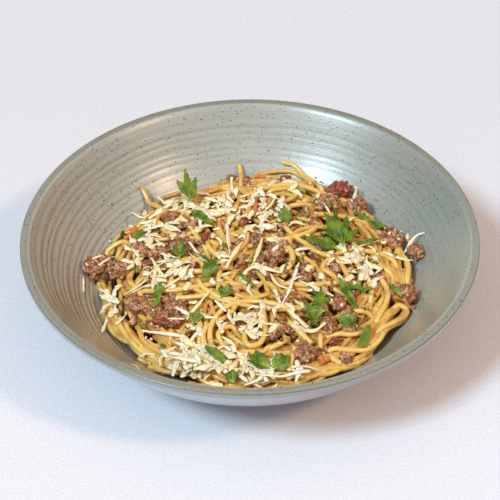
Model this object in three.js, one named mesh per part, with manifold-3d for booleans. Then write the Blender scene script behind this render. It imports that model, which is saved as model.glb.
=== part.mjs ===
// Spaghetti bolognese in its stoneware bowl, in millimetres with +Z up.
// The origin is the middle of the foot ring's underside, where the bowl stands.

import * as THREE from "three";
import { mergeVertices } from "three/addons/utils/BufferGeometryUtils.js";
import Module from "manifold-3d";

const wasm = await Module();
wasm.setup();

// Bowl
const BOWL_RADIUS = 125;
const BOWL_HEIGHT = 60;
const BOWL_SEGMENTS = 52;
const INSIDE_RADIUS = 120.6;
const INSIDE_DEPTH = 53;
const INSIDE_FLATNESS = 4.4;
const INSIDE_FLARE = 1.25;
const INSIDE_RINGS = [119.6, 117, 112, 106, 99, 91, 82, 71, 55, 30];
const WALL = 5.6;
const OUTSIDE_RINGS = [64, 78, 90, 101, 111, 118];
const LIP_HEIGHT = 3.8;
const LIP_OVERHANG = 0.9;
const EDGE_ROUND = 0.8;
const FOOT_INNER = 46;
const FOOT_OUTER = 53;
const FOOT_HEIGHT = 2.2;

// Food: how far it keeps from the bowl and from its neighbours
const BOWL_GAP = 0.45;
const PIECE_GAP = 0.35;

// Heap: a low dome, wider to the right, with a shoulder at the back
const HEAP_X = 3;
const HEAP_Y = 3;
const HEAP_REACH = 90;
const HEAP_REACH_RIGHT = 4;
const HEAP_TOP = 42;
const HEAP_EDGE = 27;
const HEAP_FALL = 2.4;
const HEAP_ROLL_START = 0.94;
const HEAP_ROLL = 970;
const SHOULDER = { x: 24, y: 58, height: 6, wide: 26, deep: 22 };
const CORE_SHRINK = 0.94;
const CORE_DEPTH = 2.6;
const CORE_SPOKES = 32;
const CORE_TOP_RINGS = [0.28, 0.52, 0.72, 0.87, 0.96];
const CORE_FLOOR_RINGS = [0.84, 0.6, 0.3];

// Strands
const NOODLE_RADIUS = 1.5;
const NOODLE_SIDES = 5;
const NOODLE_STEP = 7;
const NOODLE_PRESS = 0.6;
const NOODLE_STIFFNESS = 0.5;
const DIVE = 2.6;
const END_CLEARANCE = Math.SQRT2;
const LOOSE_NOODLES = 7;
const LOOSE_LENGTH = 80;
const LOOSE_LENGTH_SPREAD = 0.3;
const LOOSE_BEND = 2.6;
const LOOSE_PIECES = 4;
const LOOSE_START_REACH = 0.84;
const LOOSE_END_REACH = 0.93;
const SHRED_WIDTH = 2.2;
const SHRED_THICKNESS = 1;
const SHRED_STEP = 9;
const SHRED_PRESS = 0.5;
const SHREDS = 10;
const SHRED_LENGTH = 22;
const SHRED_BEND = 0.7;

// Lumps: how rough they are, how deep they sit, and how much wider their hollows in the heap are
const LUMP_ROUGHNESS = 0.13;
const LUMP_SINK = 0.25;
const HOLLOW_MARGIN = 2.4 * PIECE_GAP;
const BUMP_ROUGHNESS = 0.15;
const BUMP_SINK = 0.9;
const BUMP_FLATNESS = 0.8;
const BUMP_COVER = 0.85;

// Leaves
const LEAF_THICKNESS = 0.7;
const LEAF_FULLNESS = 0.75;
const LEAF_ROUNDNESS = 0.7;
const LEAF_NOTCH = 0.5;
const LEAF_BODY = 0.9;
const LEAF_SWEEP = 0.5;
const LEAF_FOLD = 0.12;
const LEAF_DRAPE = 2.5;
const LEAF_ROWS_PER_LOBE = 3;
const BLADE_ROWS = 5;

// Ground grid and random draws
const GRID = 1;
const GRID_HALF = 124;
const SEED = 11;

// Strands that stand out: plan route of each, and which of its ends sink into the heap
const STRANDS = [
  { route: [[-36, 34], [-31, 20], [-22, 2]], sinks: "both" },
  { route: [[28, 10], [38, 2], [48, -3], [56, -20]], sinks: "both" },
  { route: [[36, -8], [44, -14], [50, -18]], sinks: "both" },
  { route: [[67, 7], [72, -1], [82, -11]], sinks: "both" },
  { route: [[84, 15], [88, 6], [88, -2], [86, -13]], sinks: "both" },
  { route: [[-80, 15], [-81, 22], [-74, 25], [-66, 25]], sinks: "end" },
  { route: [[-44, -17], [-41, -6], [-35, -1], [-28, -4], [-24, -13]], sinks: "both" },
  { route: [[-30, -14], [-25, -26], [-15, -34], [-4, -35]], sinks: "both" },
  { route: [[-19, -17], [-13, -26], [-7, -32], [1, -34], [9, -31], [12, -26]], sinks: "both" },
  { route: [[-21, 23], [-24, 14], [-22, 5], [-13, -5]], sinks: "both" },
  { route: [[-74, -33], [-67, -47], [-56, -61], [-46, -67]], sinks: "both" },
  { route: [[-68, -36], [-65, -47], [-54, -62]], sinks: "both" },
  { route: [[-61, -42], [-56, -56], [-43, -67]], sinks: "both" },
  { route: [[-44, -46], [-42, -52], [-43, -60]], sinks: "both" },
  { route: [[-24, -36], [-28, -44], [-26, -53], [-28, -66]], sinks: "both" },
  { route: [[-18, -48], [-23, -52], [-25, -59], [-22, -66]], sinks: "both" },
  { route: [[-4, -56], [-11, -52], [-17, -57], [-13, -64]], sinks: "both" },
  { route: [[6, -67], [13, -66], [18, -62], [20, -57]], sinks: "both" },
  { route: [[-30, -71], [-23, -74], [-16, -75]], sinks: "start" },
  { route: [[-23, -79], [-11, -76], [-3, -73]], sinks: "both" },
  { route: [[22, -61], [23, -69], [19, -80]], sinks: "both" },
  { route: [[48, -44], [54, -40], [62, -38], [68, -39]], sinks: "both" },
  { route: [[41, -55], [52, -55], [60, -52], [65, -46]], sinks: "both" },
  { route: [[38, -65], [58, -64], [66, -59], [71, -51], [69, -46]], sinks: "both" },
  { route: [[37, -52], [37, -65]], sinks: "start" },
  { route: [[65, -51], [74, -45], [82, -38], [85, -33], [81, -30], [75, -34]], sinks: "both" },
  { route: [[72, -14], [75, -21], [74, -29], [66, -47]], sinks: "end" },
  { route: [[36, -68], [47, -73]], sinks: "start" },
  { route: [[19, 10], [23, 1], [23, -7], [18, -14]], sinks: "both" },
  { route: [[4, 92], [21, 92], [30, 87], [38, 65]], sinks: "both" },
  { route: [[20, 96], [30, 90], [44, 60]], sinks: "end" },
  { route: [[-6, 96], [-5, 88], [-5, 69]], sinks: "end" },
  { route: [[-63, 73], [-59, 68], [-46, 42]], sinks: "end" },
  { route: [[-9, 70], [-2, 56], [1, 48], [-1, 38], [-8, 26]], sinks: "start" },
  { route: [[6, -37], [8, -55], [5, -64], [-1, -65], [-3, -59], [0, -52], [6, -50]], sinks: "start" },
  { route: [[21, -50], [32, -63]], sinks: "none" },
];

// Mince that shows between the strands: plan place and size
const MINCE_BUMPS = [
  [-50, 9, 6.5], [-59, 15, 6], [-38, 11, 6], [-61, -28, 7], [-52, -33, 5.5], [-40, -35, 6],
  [-46, 43, 5], [13, 2, 7], [28, -16, 5.5], [45, -9, 5.5], [48, -34, 5], [42, -49, 5],
  [18, -34, 4.5], [3, -46, 4.5], [11, -57, 4.5], [50, -68, 4.5], [8, 38, 6.5], [70, -13, 4.5],
];

// Big lumps of mince and tomato: place, half sizes, turn, how finely faceted, and colour
const LUMPS = [
  { name: "mince_far_left", x: -85, y: 6, half: [9.5, 7, 7], turn: 12, facets: 2, colour: 0x7a4a35 },
  { name: "mince_left_neck", x: -73, y: -1, half: [6, 6, 5.5], turn: 50, facets: 1, colour: 0x5e3829 },
  { name: "mince_back", x: 45, y: 49, half: [8, 6, 5], turn: 0, facets: 1, colour: 0x74462f },
  { name: "mince_back_right", x: 62, y: 54, half: [6.5, 6, 5], turn: 30, facets: 1, colour: 0x6d402c },
  { name: "tomato_back", x: 53, y: 66, half: [7, 5.5, 5], turn: 15, facets: 1, colour: 0xa8412b },
  { name: "mince_right", x: 80, y: 24, half: [7, 7, 5.5], turn: 35, facets: 1, colour: 0x74462f },
  { name: "mince_right_tip", x: 93, y: 13, half: [4, 5, 4], turn: 40, facets: 1, colour: 0x8a5940 },
  { name: "mince_right_edge", x: 83, y: -21, half: [8, 6, 5.5], turn: -12, facets: 1, colour: 0x6d402c },
  { name: "mince_front", x: 29, y: -69, half: [6.5, 6.5, 4.5], turn: 60, facets: 1, colour: 0x7a4a35 },
  { name: "tomato_left", x: -45, y: -44, half: [8.5, 3.5, 3.2], turn: -8, facets: 1, colour: 0xa8412b },
];

// Parsley: where its foot lies, its size, the way it points, how far its tip rises, and its lobes
const LEAVES = [
  { name: "leaf_back_left", x: -34, y: 50, long: 15, wide: 12, turn: 104, rise: 19, lobes: 2 },
  { name: "leaf_upper_left", x: -33, y: 42, long: 19, wide: 5, turn: -53, rise: 0, lobes: 0 },
  { name: "leaf_left_small", x: -60, y: 28, long: 8, wide: 6, turn: 195, rise: 0, lobes: 0 },
  { name: "leaf_left_point", x: -39, y: -3, long: 14, wide: 9, turn: 86, rise: 4, lobes: 2 },
  { name: "leaf_centre_tall", x: -26, y: -21, long: 17, wide: 9, turn: 62, rise: 3, lobes: 2 },
  { name: "leaf_centre_arm", x: -20, y: -6, long: 14, wide: 3, turn: 145, rise: 1, lobes: 0 },
  { name: "leaf_left_long", x: -52, y: -36, long: 15, wide: 5, turn: 76, rise: 3, lobes: 0 },
  { name: "leaf_centre_small", x: -16, y: -36, long: 10, wide: 9, turn: 60, rise: 2, lobes: 2 },
  { name: "leaf_middle_point", x: -31, y: -50, long: 8, wide: 8, turn: 60, rise: 1, lobes: 2 },
  { name: "leaf_back_small", x: 21, y: 25, long: 12, wide: 8, turn: 98, rise: 3, lobes: 2 },
  { name: "leaf_big_left", x: 50, y: 5, long: 22, wide: 13, turn: 159, rise: 2, lobes: 3 },
  { name: "leaf_big", x: 52, y: 7, long: 26, wide: 22, turn: 99, rise: 8, lobes: 3 },
  { name: "leaf_thin", x: 59, y: 13, long: 14, wide: 6, turn: 22, rise: 1, lobes: 0 },
  { name: "leaf_pair_left", x: 68, y: 36, long: 12, wide: 8, turn: 131, rise: 3, lobes: 2 },
  { name: "leaf_pair_right", x: 68, y: 39, long: 13, wide: 8, turn: -31, rise: 0, lobes: 0 },
  { name: "leaf_right_upper", x: 41, y: -42, long: 14, wide: 11, turn: 122, rise: 3, lobes: 3 },
  { name: "leaf_right_lower", x: 40, y: -43, long: 13, wide: 13, turn: 185, rise: 1, lobes: 3 },
  { name: "leaf_dark", x: 52, y: -22, long: 15, wide: 4, turn: -8, rise: 1, lobes: 0 },
  { name: "leaf_strip", x: 57, y: -38, long: 20, wide: 5, turn: 116, rise: 2, lobes: 0 },
  { name: "leaf_curved", x: 44, y: -44, long: 18, wide: 9, turn: -28, rise: 1, lobes: 2 },
  { name: "leaf_front_strip", x: 58, y: -63, long: 14, wide: 4.5, turn: 66, rise: 2, lobes: 0 },
  { name: "leaf_front_left", x: 10, y: -79, long: 12, wide: 10, turn: 154, rise: 2, lobes: 1 },
  { name: "leaf_front_right", x: 11, y: -79, long: 10, wide: 10, turn: 25, rise: 2, lobes: 1 },
  { name: "leaf_front_small", x: -13, y: -75, long: 14, wide: 5, turn: 142, rise: 1, lobes: 0 },
  { name: "leaf_rim", x: -9, y: -87, long: 6, wide: 8, turn: 95, rise: 0, lobes: 2 },
  { name: "stem_right", x: 82, y: -28, long: 12, wide: 2.4, turn: 121, rise: 0, lobes: 0 },
  { name: "stem_centre", x: 4, y: -25, long: 13, wide: 2.4, turn: 147, rise: 1, lobes: 0 },
];

const MATERIALS = {
  glaze: { color: 0xa3aa9b, roughness: 0.35 },
  pasta: { color: 0xe3bf72, roughness: 0.4 },
  parsley: { color: 0x3f7a2a, roughness: 0.5 },
};

// The same random draws every time
function randomFrom(seed) {
  let state = seed;
  return () => {
    state = (Math.imul(state, 1664525) + 1013904223) >>> 0;
    return state / 2 ** 32;
  };
}

// Height of the bowl's inside at a distance from its axis
function insideHeight(radius) {
  const share = Math.min(radius / INSIDE_RADIUS, 1);
  return BOWL_HEIGHT - INSIDE_DEPTH * (1 - share ** INSIDE_FLATNESS) ** INSIDE_FLARE;
}

function insideSlope(radius) {
  const step = 0.01;
  return (insideHeight(radius + step) - insideHeight(radius - step)) / (2 * step);
}

// A point of the outer wall, one wall thickness square out from the inside
function outsidePoint(radius) {
  const slope = insideSlope(radius);
  const scale = WALL / Math.hypot(1, slope);
  return new THREE.Vector2(radius + slope * scale, insideHeight(radius) - scale);
}

function lathe(profile) {
  return new THREE.LatheGeometry(profile, BOWL_SEGMENTS).rotateX(Math.PI / 2);
}

function bowlGeometry() {
  const underLip = BOWL_HEIGHT - LIP_HEIGHT;
  const profile = [
    new THREE.Vector2(0, FOOT_HEIGHT),
    new THREE.Vector2(FOOT_INNER - FOOT_HEIGHT, FOOT_HEIGHT),
    new THREE.Vector2(FOOT_INNER, 0),
    new THREE.Vector2(FOOT_OUTER, 0),
    new THREE.Vector2(FOOT_OUTER + EDGE_ROUND, FOOT_HEIGHT),
    ...OUTSIDE_RINGS.map(outsidePoint),
    new THREE.Vector2(BOWL_RADIUS - LIP_OVERHANG, underLip),
    new THREE.Vector2(BOWL_RADIUS, underLip + EDGE_ROUND),
    new THREE.Vector2(BOWL_RADIUS, BOWL_HEIGHT - EDGE_ROUND),
    new THREE.Vector2(BOWL_RADIUS - EDGE_ROUND, BOWL_HEIGHT),
    new THREE.Vector2(INSIDE_RADIUS + EDGE_ROUND, BOWL_HEIGHT),
    ...INSIDE_RINGS.map((radius) => new THREE.Vector2(radius, insideHeight(radius))),
    new THREE.Vector2(0, insideHeight(0)),
  ];
  return lathe(profile);
}

// The space that food may fill, a little clear of the bowl
function foodSpaceGeometry() {
  const lowest = insideHeight(0) + BOWL_GAP;
  const wall = [...INSIDE_RINGS].reverse().map((radius) => {
    const drift = Math.hypot(1, insideSlope(radius));
    return new THREE.Vector2(radius, insideHeight(radius) + BOWL_GAP * drift);
  });
  const top = 2 * BOWL_HEIGHT;
  return lathe([
    new THREE.Vector2(0, lowest),
    ...wall,
    new THREE.Vector2(INSIDE_RADIUS, top),
    new THREE.Vector2(0, top),
  ]);
}

function heapReach(angle) {
  return HEAP_REACH + HEAP_REACH_RIGHT * Math.cos(angle);
}

// Height of the finished heap at a place in plan
function heapHeight(x, y) {
  const dx = x - HEAP_X;
  const dy = y - HEAP_Y;
  const share = Math.hypot(dx, dy) / heapReach(Math.atan2(dy, dx));
  const shoulder = Math.exp(
    -(((x - SHOULDER.x) / SHOULDER.wide) ** 2) - ((y - SHOULDER.y) / SHOULDER.deep) ** 2,
  );
  const roll = Math.max(share - HEAP_ROLL_START, 0) ** 2 * HEAP_ROLL;
  const dome = HEAP_TOP - (HEAP_TOP - HEAP_EDGE) * share ** HEAP_FALL;
  return dome + SHOULDER.height * shoulder - roll;
}

function floorHeight(x, y) {
  const radius = Math.hypot(x, y);
  const drift = Math.hypot(1, insideSlope(Math.min(radius, INSIDE_RADIUS - 1)));
  return insideHeight(radius) + BOWL_GAP * drift;
}

function coreHeight(x, y) {
  return heapHeight(x, y) - CORE_DEPTH;
}

// A closed surface of rings between two poles, each ring a list of points
function ringSolid(rings, firstPole, lastPole) {
  const count = rings[0].length;
  const points = [firstPole, ...rings.flat(), lastPole];
  const last = points.length - 1;
  const faces = [];
  for (let side = 0; side < count; side += 1) {
    const next = (side + 1) % count;
    faces.push(0, 1 + side, 1 + next);
    for (let ring = 0; ring + 1 < rings.length; ring += 1) {
      const near = 1 + ring * count;
      const far = near + count;
      faces.push(near + side, far + side, far + next, near + side, far + next, near + next);
    }
    const end = 1 + (rings.length - 1) * count;
    faces.push(last, end + next, end + side);
  }
  const geometry = new THREE.BufferGeometry();
  geometry.setAttribute("position", new THREE.Float32BufferAttribute(points.flat(), 3));
  geometry.setIndex(faces);
  return geometry;
}

// The heap's core: a dome over a floor that follows the bowl
function coreGeometry() {
  const ring = (share, height) =>
    Array.from({ length: CORE_SPOKES }, (_, spoke) => {
      const angle = (2 * Math.PI * spoke) / CORE_SPOKES;
      const reach = share * CORE_SHRINK * heapReach(angle);
      const x = HEAP_X + reach * Math.cos(angle);
      const y = HEAP_Y + reach * Math.sin(angle);
      return [x, y, height(x, y)];
    });
  const aboveFloor = (x, y) => floorHeight(x, y) + BOWL_GAP;
  const edge = (x, y) => (aboveFloor(x, y) + coreHeight(x, y)) / 2;
  const rings = [
    ...CORE_TOP_RINGS.map((share) => ring(share, coreHeight)),
    ring(1, edge),
    ...CORE_FLOOR_RINGS.map((share) => ring(share, aboveFloor)),
  ];
  const top = [HEAP_X, HEAP_Y, coreHeight(HEAP_X, HEAP_Y)];
  const bottom = [HEAP_X, HEAP_Y, aboveFloor(HEAP_X, HEAP_Y)];
  return ringSolid(rings, top, bottom);
}

// Ground: the height of everything laid so far, on a square grid
const gridCells = (2 * GRID_HALF) / GRID + 1;
const ground = new Float64Array(gridCells * gridCells);

function cellOf(value) {
  return THREE.MathUtils.clamp(Math.round((value + GRID_HALF) / GRID), 0, gridCells - 1);
}

function fillGround() {
  for (let row = 0; row < gridCells; row += 1) {
    for (let column = 0; column < gridCells; column += 1) {
      const x = column * GRID - GRID_HALF;
      const y = row * GRID - GRID_HALF;
      const inCore = Math.hypot(x - HEAP_X, y - HEAP_Y) < CORE_SHRINK * HEAP_REACH;
      const core = inCore ? coreHeight(x, y) : 0;
      ground[row * gridCells + column] = Math.max(floorHeight(x, y), core);
    }
  }
}

function eachCellNear(x, y, reach, visit) {
  for (let row = cellOf(y - reach); row <= cellOf(y + reach); row += 1) {
    for (let column = cellOf(x - reach); column <= cellOf(x + reach); column += 1) {
      const away = Math.hypot(column * GRID - GRID_HALF - x, row * GRID - GRID_HALF - y);
      if (away <= reach) visit(row * gridCells + column, away);
    }
  }
}

// Where the centre of a ball comes to rest when it is dropped at a place
function restHeight(x, y, radius) {
  let height = 0;
  eachCellNear(x, y, radius, (cell, away) => {
    height = Math.max(height, ground[cell] + Math.sqrt(radius ** 2 - away ** 2));
  });
  return height;
}

function raiseGround(x, y, z, radius) {
  eachCellNear(x, y, radius, (cell, away) => {
    ground[cell] = Math.max(ground[cell], z + Math.sqrt(radius ** 2 - away ** 2));
  });
}

// Lays a strand over the ground along its route and returns its centre line
function layStrand(route, sinks, radius, press, step) {
  const plan = new THREE.CatmullRomCurve3(route.map(([x, y]) => new THREE.Vector3(x, y, 0)));
  const count = Math.max(2, Math.round(plan.getLength() / step));
  const line = plan.getSpacedPoints(count);
  for (const point of line) point.z = restHeight(point.x, point.y, radius) - press;
  for (let pass = 0; pass < count; pass += 1) {
    for (let index = 1; index < count; index += 1) {
      const level = (line[index - 1].z + line[index + 1].z) / 2;
      line[index].z = Math.max(line[index].z, level - NOODLE_STIFFNESS);
    }
  }
  for (const point of line) {
    const floor = floorHeight(point.x, point.y) + radius * END_CLEARANCE;
    const atStart = point === line[0] && sinks !== "end" && sinks !== "none";
    const atEnd = point === line[count] && sinks !== "start" && sinks !== "none";
    if (atStart || atEnd) point.z = Math.max(point.z - DIVE, floor);
  }
  const curve = new THREE.CatmullRomCurve3(line);
  for (const point of curve.getSpacedPoints(4 * count)) {
    raiseGround(point.x, point.y, point.z, radius);
  }
  return curve;
}

function sweep(section, curve, step) {
  const steps = Math.max(2, Math.round(curve.getLength() / step));
  return new THREE.ExtrudeGeometry(section, { steps, bevelEnabled: false, extrudePath: curve });
}

function roundSection(radius, sides) {
  const corners = Array.from({ length: sides }, (_, side) => {
    const angle = (2 * Math.PI * side) / sides;
    return new THREE.Vector2(radius * Math.cos(angle), radius * Math.sin(angle));
  });
  return new THREE.Shape(corners);
}

function flatSection(width, thickness) {
  const corners = [[-1, -1], [1, -1], [1, 1], [-1, 1]];
  return new THREE.Shape(
    corners.map(([x, y]) => new THREE.Vector2((x * thickness) / 2, (y * width) / 2)),
  );
}

// A geometry's solid, with the vertices that its faces share merged
function solidOf(geometry) {
  const bare = geometry.clone();
  bare.deleteAttribute("normal");
  bare.deleteAttribute("uv");
  const merged = mergeVertices(bare, 1e-3);
  return new wasm.Manifold(
    new wasm.Mesh({
      numProp: 3,
      vertProperties: new Float32Array(merged.attributes.position.array),
      triVerts: new Uint32Array(merged.index.array),
    }),
  );
}

// The largest body of a solid, without loose scraps or sealed hollows
function mainBody(solid) {
  return solid.decompose().reduce((most, body) => (body.volume() > most.volume() ? body : most));
}

function meshOf(name, solid, material) {
  const data = solid.getMesh();
  const geometry = new THREE.BufferGeometry();
  geometry.setAttribute("position", new THREE.BufferAttribute(data.vertProperties, 3));
  geometry.setIndex(new THREE.BufferAttribute(data.triVerts, 1));
  geometry.computeVertexNormals();
  const mesh = new THREE.Mesh(geometry, material);
  mesh.name = name;
  return mesh;
}

// A rough lump: a many-sided ball pushed in and out at its corners
function lumpGeometry(half, facets, roughness, random) {
  const ball = new THREE.IcosahedronGeometry(1, facets);
  ball.deleteAttribute("normal");
  ball.deleteAttribute("uv");
  const lump = mergeVertices(ball, 1e-3);
  const corners = lump.attributes.position;
  const corner = new THREE.Vector3();
  for (let index = 0; index < corners.count; index += 1) {
    corner.fromBufferAttribute(corners, index);
    corner.multiplyScalar(1 + roughness * (2 * random() - 1));
    corners.setXYZ(index, corner.x * half[0], corner.y * half[1], corner.z * half[2]);
  }
  return lump;
}

// Lumps lie on the bare core or the bowl, each in its own hollow of the heap
function makeLump(spec, random, foodSpace) {
  const geometry = lumpGeometry(spec.half, spec.facets, LUMP_ROUGHNESS, random);
  geometry.rotateZ(THREE.MathUtils.degToRad(spec.turn));
  const [along, across, up] = spec.half;
  const z = restHeight(spec.x, spec.y, up) - LUMP_SINK * up;
  geometry.translate(spec.x, spec.y, z);
  const body = mainBody(solidOf(geometry).intersect(foodSpace));
  const reach = (along + across) / 2;
  const margin = PIECE_GAP + NOODLE_PRESS;
  eachCellNear(spec.x, spec.y, reach, (cell, away) => {
    const top = z + up * Math.sqrt(1 - (away / reach) ** 2) + margin;
    ground[cell] = Math.max(ground[cell], top);
  });
  return body;
}

// A slightly larger copy of a lump, which the heap is cut back to
function hollowFor(body) {
  const box = body.boundingBox();
  const centre = box.min.map((low, axis) => (low + box.max[axis]) / 2);
  const scale = box.min.map((low, axis) => 1 + HOLLOW_MARGIN / (box.max[axis] - low));
  return body.translate(centre.map((value) => -value)).scale(scale).translate(centre);
}

// Half the width of a leaf at a share of its length, narrower between its lobes
function leafHalfWidth(spec, share) {
  const oval = Math.sin(Math.PI * share ** LEAF_FULLNESS) ** LEAF_ROUNDNESS;
  const dip = spec.lobes > 0 ? 0.5 - 0.5 * Math.cos(2 * Math.PI * spec.lobes * share) : 1;
  return (spec.wide / 2) * oval * (1 - LEAF_NOTCH * (1 - dip));
}

// A thin wavy leaf over the ground: rows of three points, swept towards its tip
function leafGeometry(spec, lift) {
  const rows = spec.lobes > 0 ? LEAF_ROWS_PER_LOBE * spec.lobes : BLADE_ROWS;
  const turn = THREE.MathUtils.degToRad(spec.turn);
  const place = (share, side, face) => {
    const out = side * leafHalfWidth(spec, share);
    const run = Math.min(spec.long * share * LEAF_BODY + LEAF_SWEEP * Math.abs(out), spec.long);
    const x = spec.x + run * Math.cos(turn) - out * Math.sin(turn);
    const y = spec.y + run * Math.sin(turn) + out * Math.cos(turn);
    const low = restHeight(x, y, LEAF_DRAPE) - LEAF_DRAPE;
    const rise = (spec.rise * run) / spec.long + LEAF_FOLD * Math.abs(out);
    return [x, y, low + lift + rise + (face * LEAF_THICKNESS) / 2];
  };
  const ring = (face) => {
    const there = [];
    const back = [];
    for (let row = 1; row < rows; row += 1) {
      there.push(place(row / rows, 1, face));
      back.unshift(place(row / rows, -1, face));
    }
    return [place(0, 0, face), ...there, place(1, 0, face), ...back];
  };
  const spine = (face) => {
    const inner = [];
    for (let row = 1; row < rows; row += 1) inner.push(place(row / rows, 0, face));
    return inner;
  };
  return leafShell(rows, [ring(1), ring(-1)], [spine(1), spine(-1)]);
}

// Closes a leaf's two faces: each half is a strip of triangles from its edge to its spine
function leafShell(rows, edges, spines) {
  const around = 2 * rows;
  const points = [...edges[0], ...edges[1], ...spines[0], ...spines[1]];
  const faces = [];
  for (const face of [0, 1]) {
    const edge = (index) => face * around + (index % around);
    const spine = (row) => {
      if (row === 0) return edge(0);
      if (row === rows) return edge(rows);
      return 2 * around + face * (rows - 1) + row - 1;
    };
    const add = (a, b, c) => {
      if (a !== b && b !== c && a !== c) faces.push(...(face === 0 ? [a, c, b] : [a, b, c]));
    };
    for (let row = 0; row < rows; row += 1) {
      add(spine(row), edge(row), edge(row + 1));
      add(spine(row), edge(row + 1), spine(row + 1));
      add(spine(row), edge(around - row - 1), edge(around - row));
      add(spine(row), spine(row + 1), edge(around - row - 1));
    }
  }
  for (let index = 0; index < around; index += 1) {
    const next = (index + 1) % around;
    faces.push(index, next, around + next, index, around + next, around + index);
  }
  const geometry = new THREE.BufferGeometry();
  geometry.setAttribute("position", new THREE.Float32BufferAttribute(points.flat(), 3));
  geometry.setIndex(faces);
  return geometry;
}

// Lifts a leaf until it is clear of all that lies below it
function makeLeaf(spec, below) {
  let lift = PIECE_GAP + LEAF_THICKNESS / 2;
  let body = solidOf(leafGeometry(spec, lift));
  while (below.some((other) => body.intersect(other).volume() > 0)) {
    lift += PIECE_GAP;
    body = solidOf(leafGeometry(spec, lift));
  }
  return body.translate([0, 0, PIECE_GAP / 2]);
}

// Loose strands, spread evenly over the heap: each an arc of its own bend and heading
function looseRoutes(count, length, bend, random) {
  const golden = Math.PI * (3 - Math.sqrt(5));
  return Array.from({ length: count }, (_, index) => {
    const share = LOOSE_START_REACH * Math.sqrt((index + 0.5) / count);
    const place = index * golden;
    const reach = share * heapReach(place);
    let heading = 2 * Math.PI * random();
    const turn = bend * (2 * random() - 1);
    const stretch = length * (1 + LOOSE_LENGTH_SPREAD * (2 * random() - 1));
    const run = stretch / LOOSE_PIECES;
    const route = [[HEAP_X + reach * Math.cos(place), HEAP_Y + reach * Math.sin(place)]];
    for (let piece = 0; piece < LOOSE_PIECES; piece += 1) {
      const [x, y] = route[piece];
      heading += turn / LOOSE_PIECES;
      const next = [x + run * Math.cos(heading), y + run * Math.sin(heading)];
      const away = Math.hypot(next[0] - HEAP_X, next[1] - HEAP_Y);
      const edge = heapReach(Math.atan2(next[1] - HEAP_Y, next[0] - HEAP_X));
      if (away > LOOSE_END_REACH * edge) break;
      route.push(next);
    }
    return route;
  }).filter((route) => route.length > 2);
}

// The whole dish, from the bowl up
function makeDish() {
  const random = randomFrom(SEED);
  const foodSpace = solidOf(foodSpaceGeometry());
  const dish = new THREE.Group();
  const finish = (spec) => new THREE.MeshStandardMaterial({ metalness: 0, ...spec });
  const bowl = solidOf(bowlGeometry());
  dish.add(meshOf("bowl", bowl, finish(MATERIALS.glaze)));

  fillGround();
  const lumps = LUMPS.map((spec) => makeLump(spec, random, foodSpace));
  const noodle = roundSection(NOODLE_RADIUS, NOODLE_SIDES);
  const shred = flatSection(SHRED_WIDTH, SHRED_THICKNESS);
  const parts = [solidOf(coreGeometry())];

  const addNoodle = (route, sinks) => {
    const curve = layStrand(route, sinks, NOODLE_RADIUS, NOODLE_PRESS, NOODLE_STEP);
    parts.push(solidOf(sweep(noodle, curve, NOODLE_STEP)));
  };
  for (const route of looseRoutes(LOOSE_NOODLES, LOOSE_LENGTH, LOOSE_BEND, random)) {
    addNoodle(route, "both");
  }
  for (const [x, y, size] of MINCE_BUMPS) {
    const z = restHeight(x, y, size) - BUMP_SINK * size;
    const half = [size, size, BUMP_FLATNESS * size];
    parts.push(solidOf(lumpGeometry(half, 0, BUMP_ROUGHNESS, random).translate(x, y, z)));
    raiseGround(x, y, z, BUMP_COVER * size);
  }
  for (const { route, sinks } of STRANDS) addNoodle(route, sinks);
  for (const route of looseRoutes(SHREDS, SHRED_LENGTH, SHRED_BEND, random)) {
    const curve = layStrand(route, "none", SHRED_WIDTH / 2, SHRED_PRESS, SHRED_STEP);
    parts.push(solidOf(sweep(shred, curve, SHRED_STEP)));
  }

  let heap = parts.reduce((whole, part) => whole.add(part));
  heap = heap.intersect(foodSpace);
  for (const lump of lumps) heap = heap.subtract(hollowFor(lump));
  heap = mainBody(heap);
  dish.add(meshOf("spaghetti", heap, finish(MATERIALS.pasta)));

  lumps.forEach((lump, index) => {
    const { name, colour } = LUMPS[index];
    dish.add(meshOf(name, lump, finish({ color: colour, roughness: 0.6 })));
  });

  const placed = [heap, bowl, ...lumps];
  for (const spec of LEAVES) {
    const leaf = makeLeaf(spec, placed);
    placed.push(leaf);
    dish.add(meshOf(spec.name, leaf, finish(MATERIALS.parsley)));
  }
  return dish;
}

export default makeDish();
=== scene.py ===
# Spaghetti bolognese in its stoneware bowl: how it looks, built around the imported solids.
# Sizes and places are in millimetres, +Z up from the foot ring's underside, and MM makes them metres.

import math

import bmesh
import bpy
import numpy as np
from mathutils import Matrix, Vector, noise


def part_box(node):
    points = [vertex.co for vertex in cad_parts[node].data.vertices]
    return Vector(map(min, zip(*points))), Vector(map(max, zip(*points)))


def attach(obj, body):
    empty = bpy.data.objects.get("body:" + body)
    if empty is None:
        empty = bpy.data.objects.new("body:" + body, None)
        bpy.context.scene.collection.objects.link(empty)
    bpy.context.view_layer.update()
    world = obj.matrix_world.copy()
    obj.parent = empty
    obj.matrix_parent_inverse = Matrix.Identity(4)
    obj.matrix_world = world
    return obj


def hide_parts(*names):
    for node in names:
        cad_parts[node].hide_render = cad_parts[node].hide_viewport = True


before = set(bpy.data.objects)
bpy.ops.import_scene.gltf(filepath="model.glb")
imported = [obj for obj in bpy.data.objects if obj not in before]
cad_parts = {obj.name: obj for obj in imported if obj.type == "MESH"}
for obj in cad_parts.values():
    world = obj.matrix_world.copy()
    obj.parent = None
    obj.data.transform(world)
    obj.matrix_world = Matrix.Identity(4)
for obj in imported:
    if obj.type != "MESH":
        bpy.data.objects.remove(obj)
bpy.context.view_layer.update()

MM = 0.001
SEED = 7

# Each layer draws random numbers of its own, so a change in one leaves the others alone
GROUPS = {
    "bed": 1, "upper": 2, "mince": 3, "top": 4, "cheese": 6,
    "parsley": 8, "oil": 9, "standing": 10, "crumbs": 11, "edge": 12,
}

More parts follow.
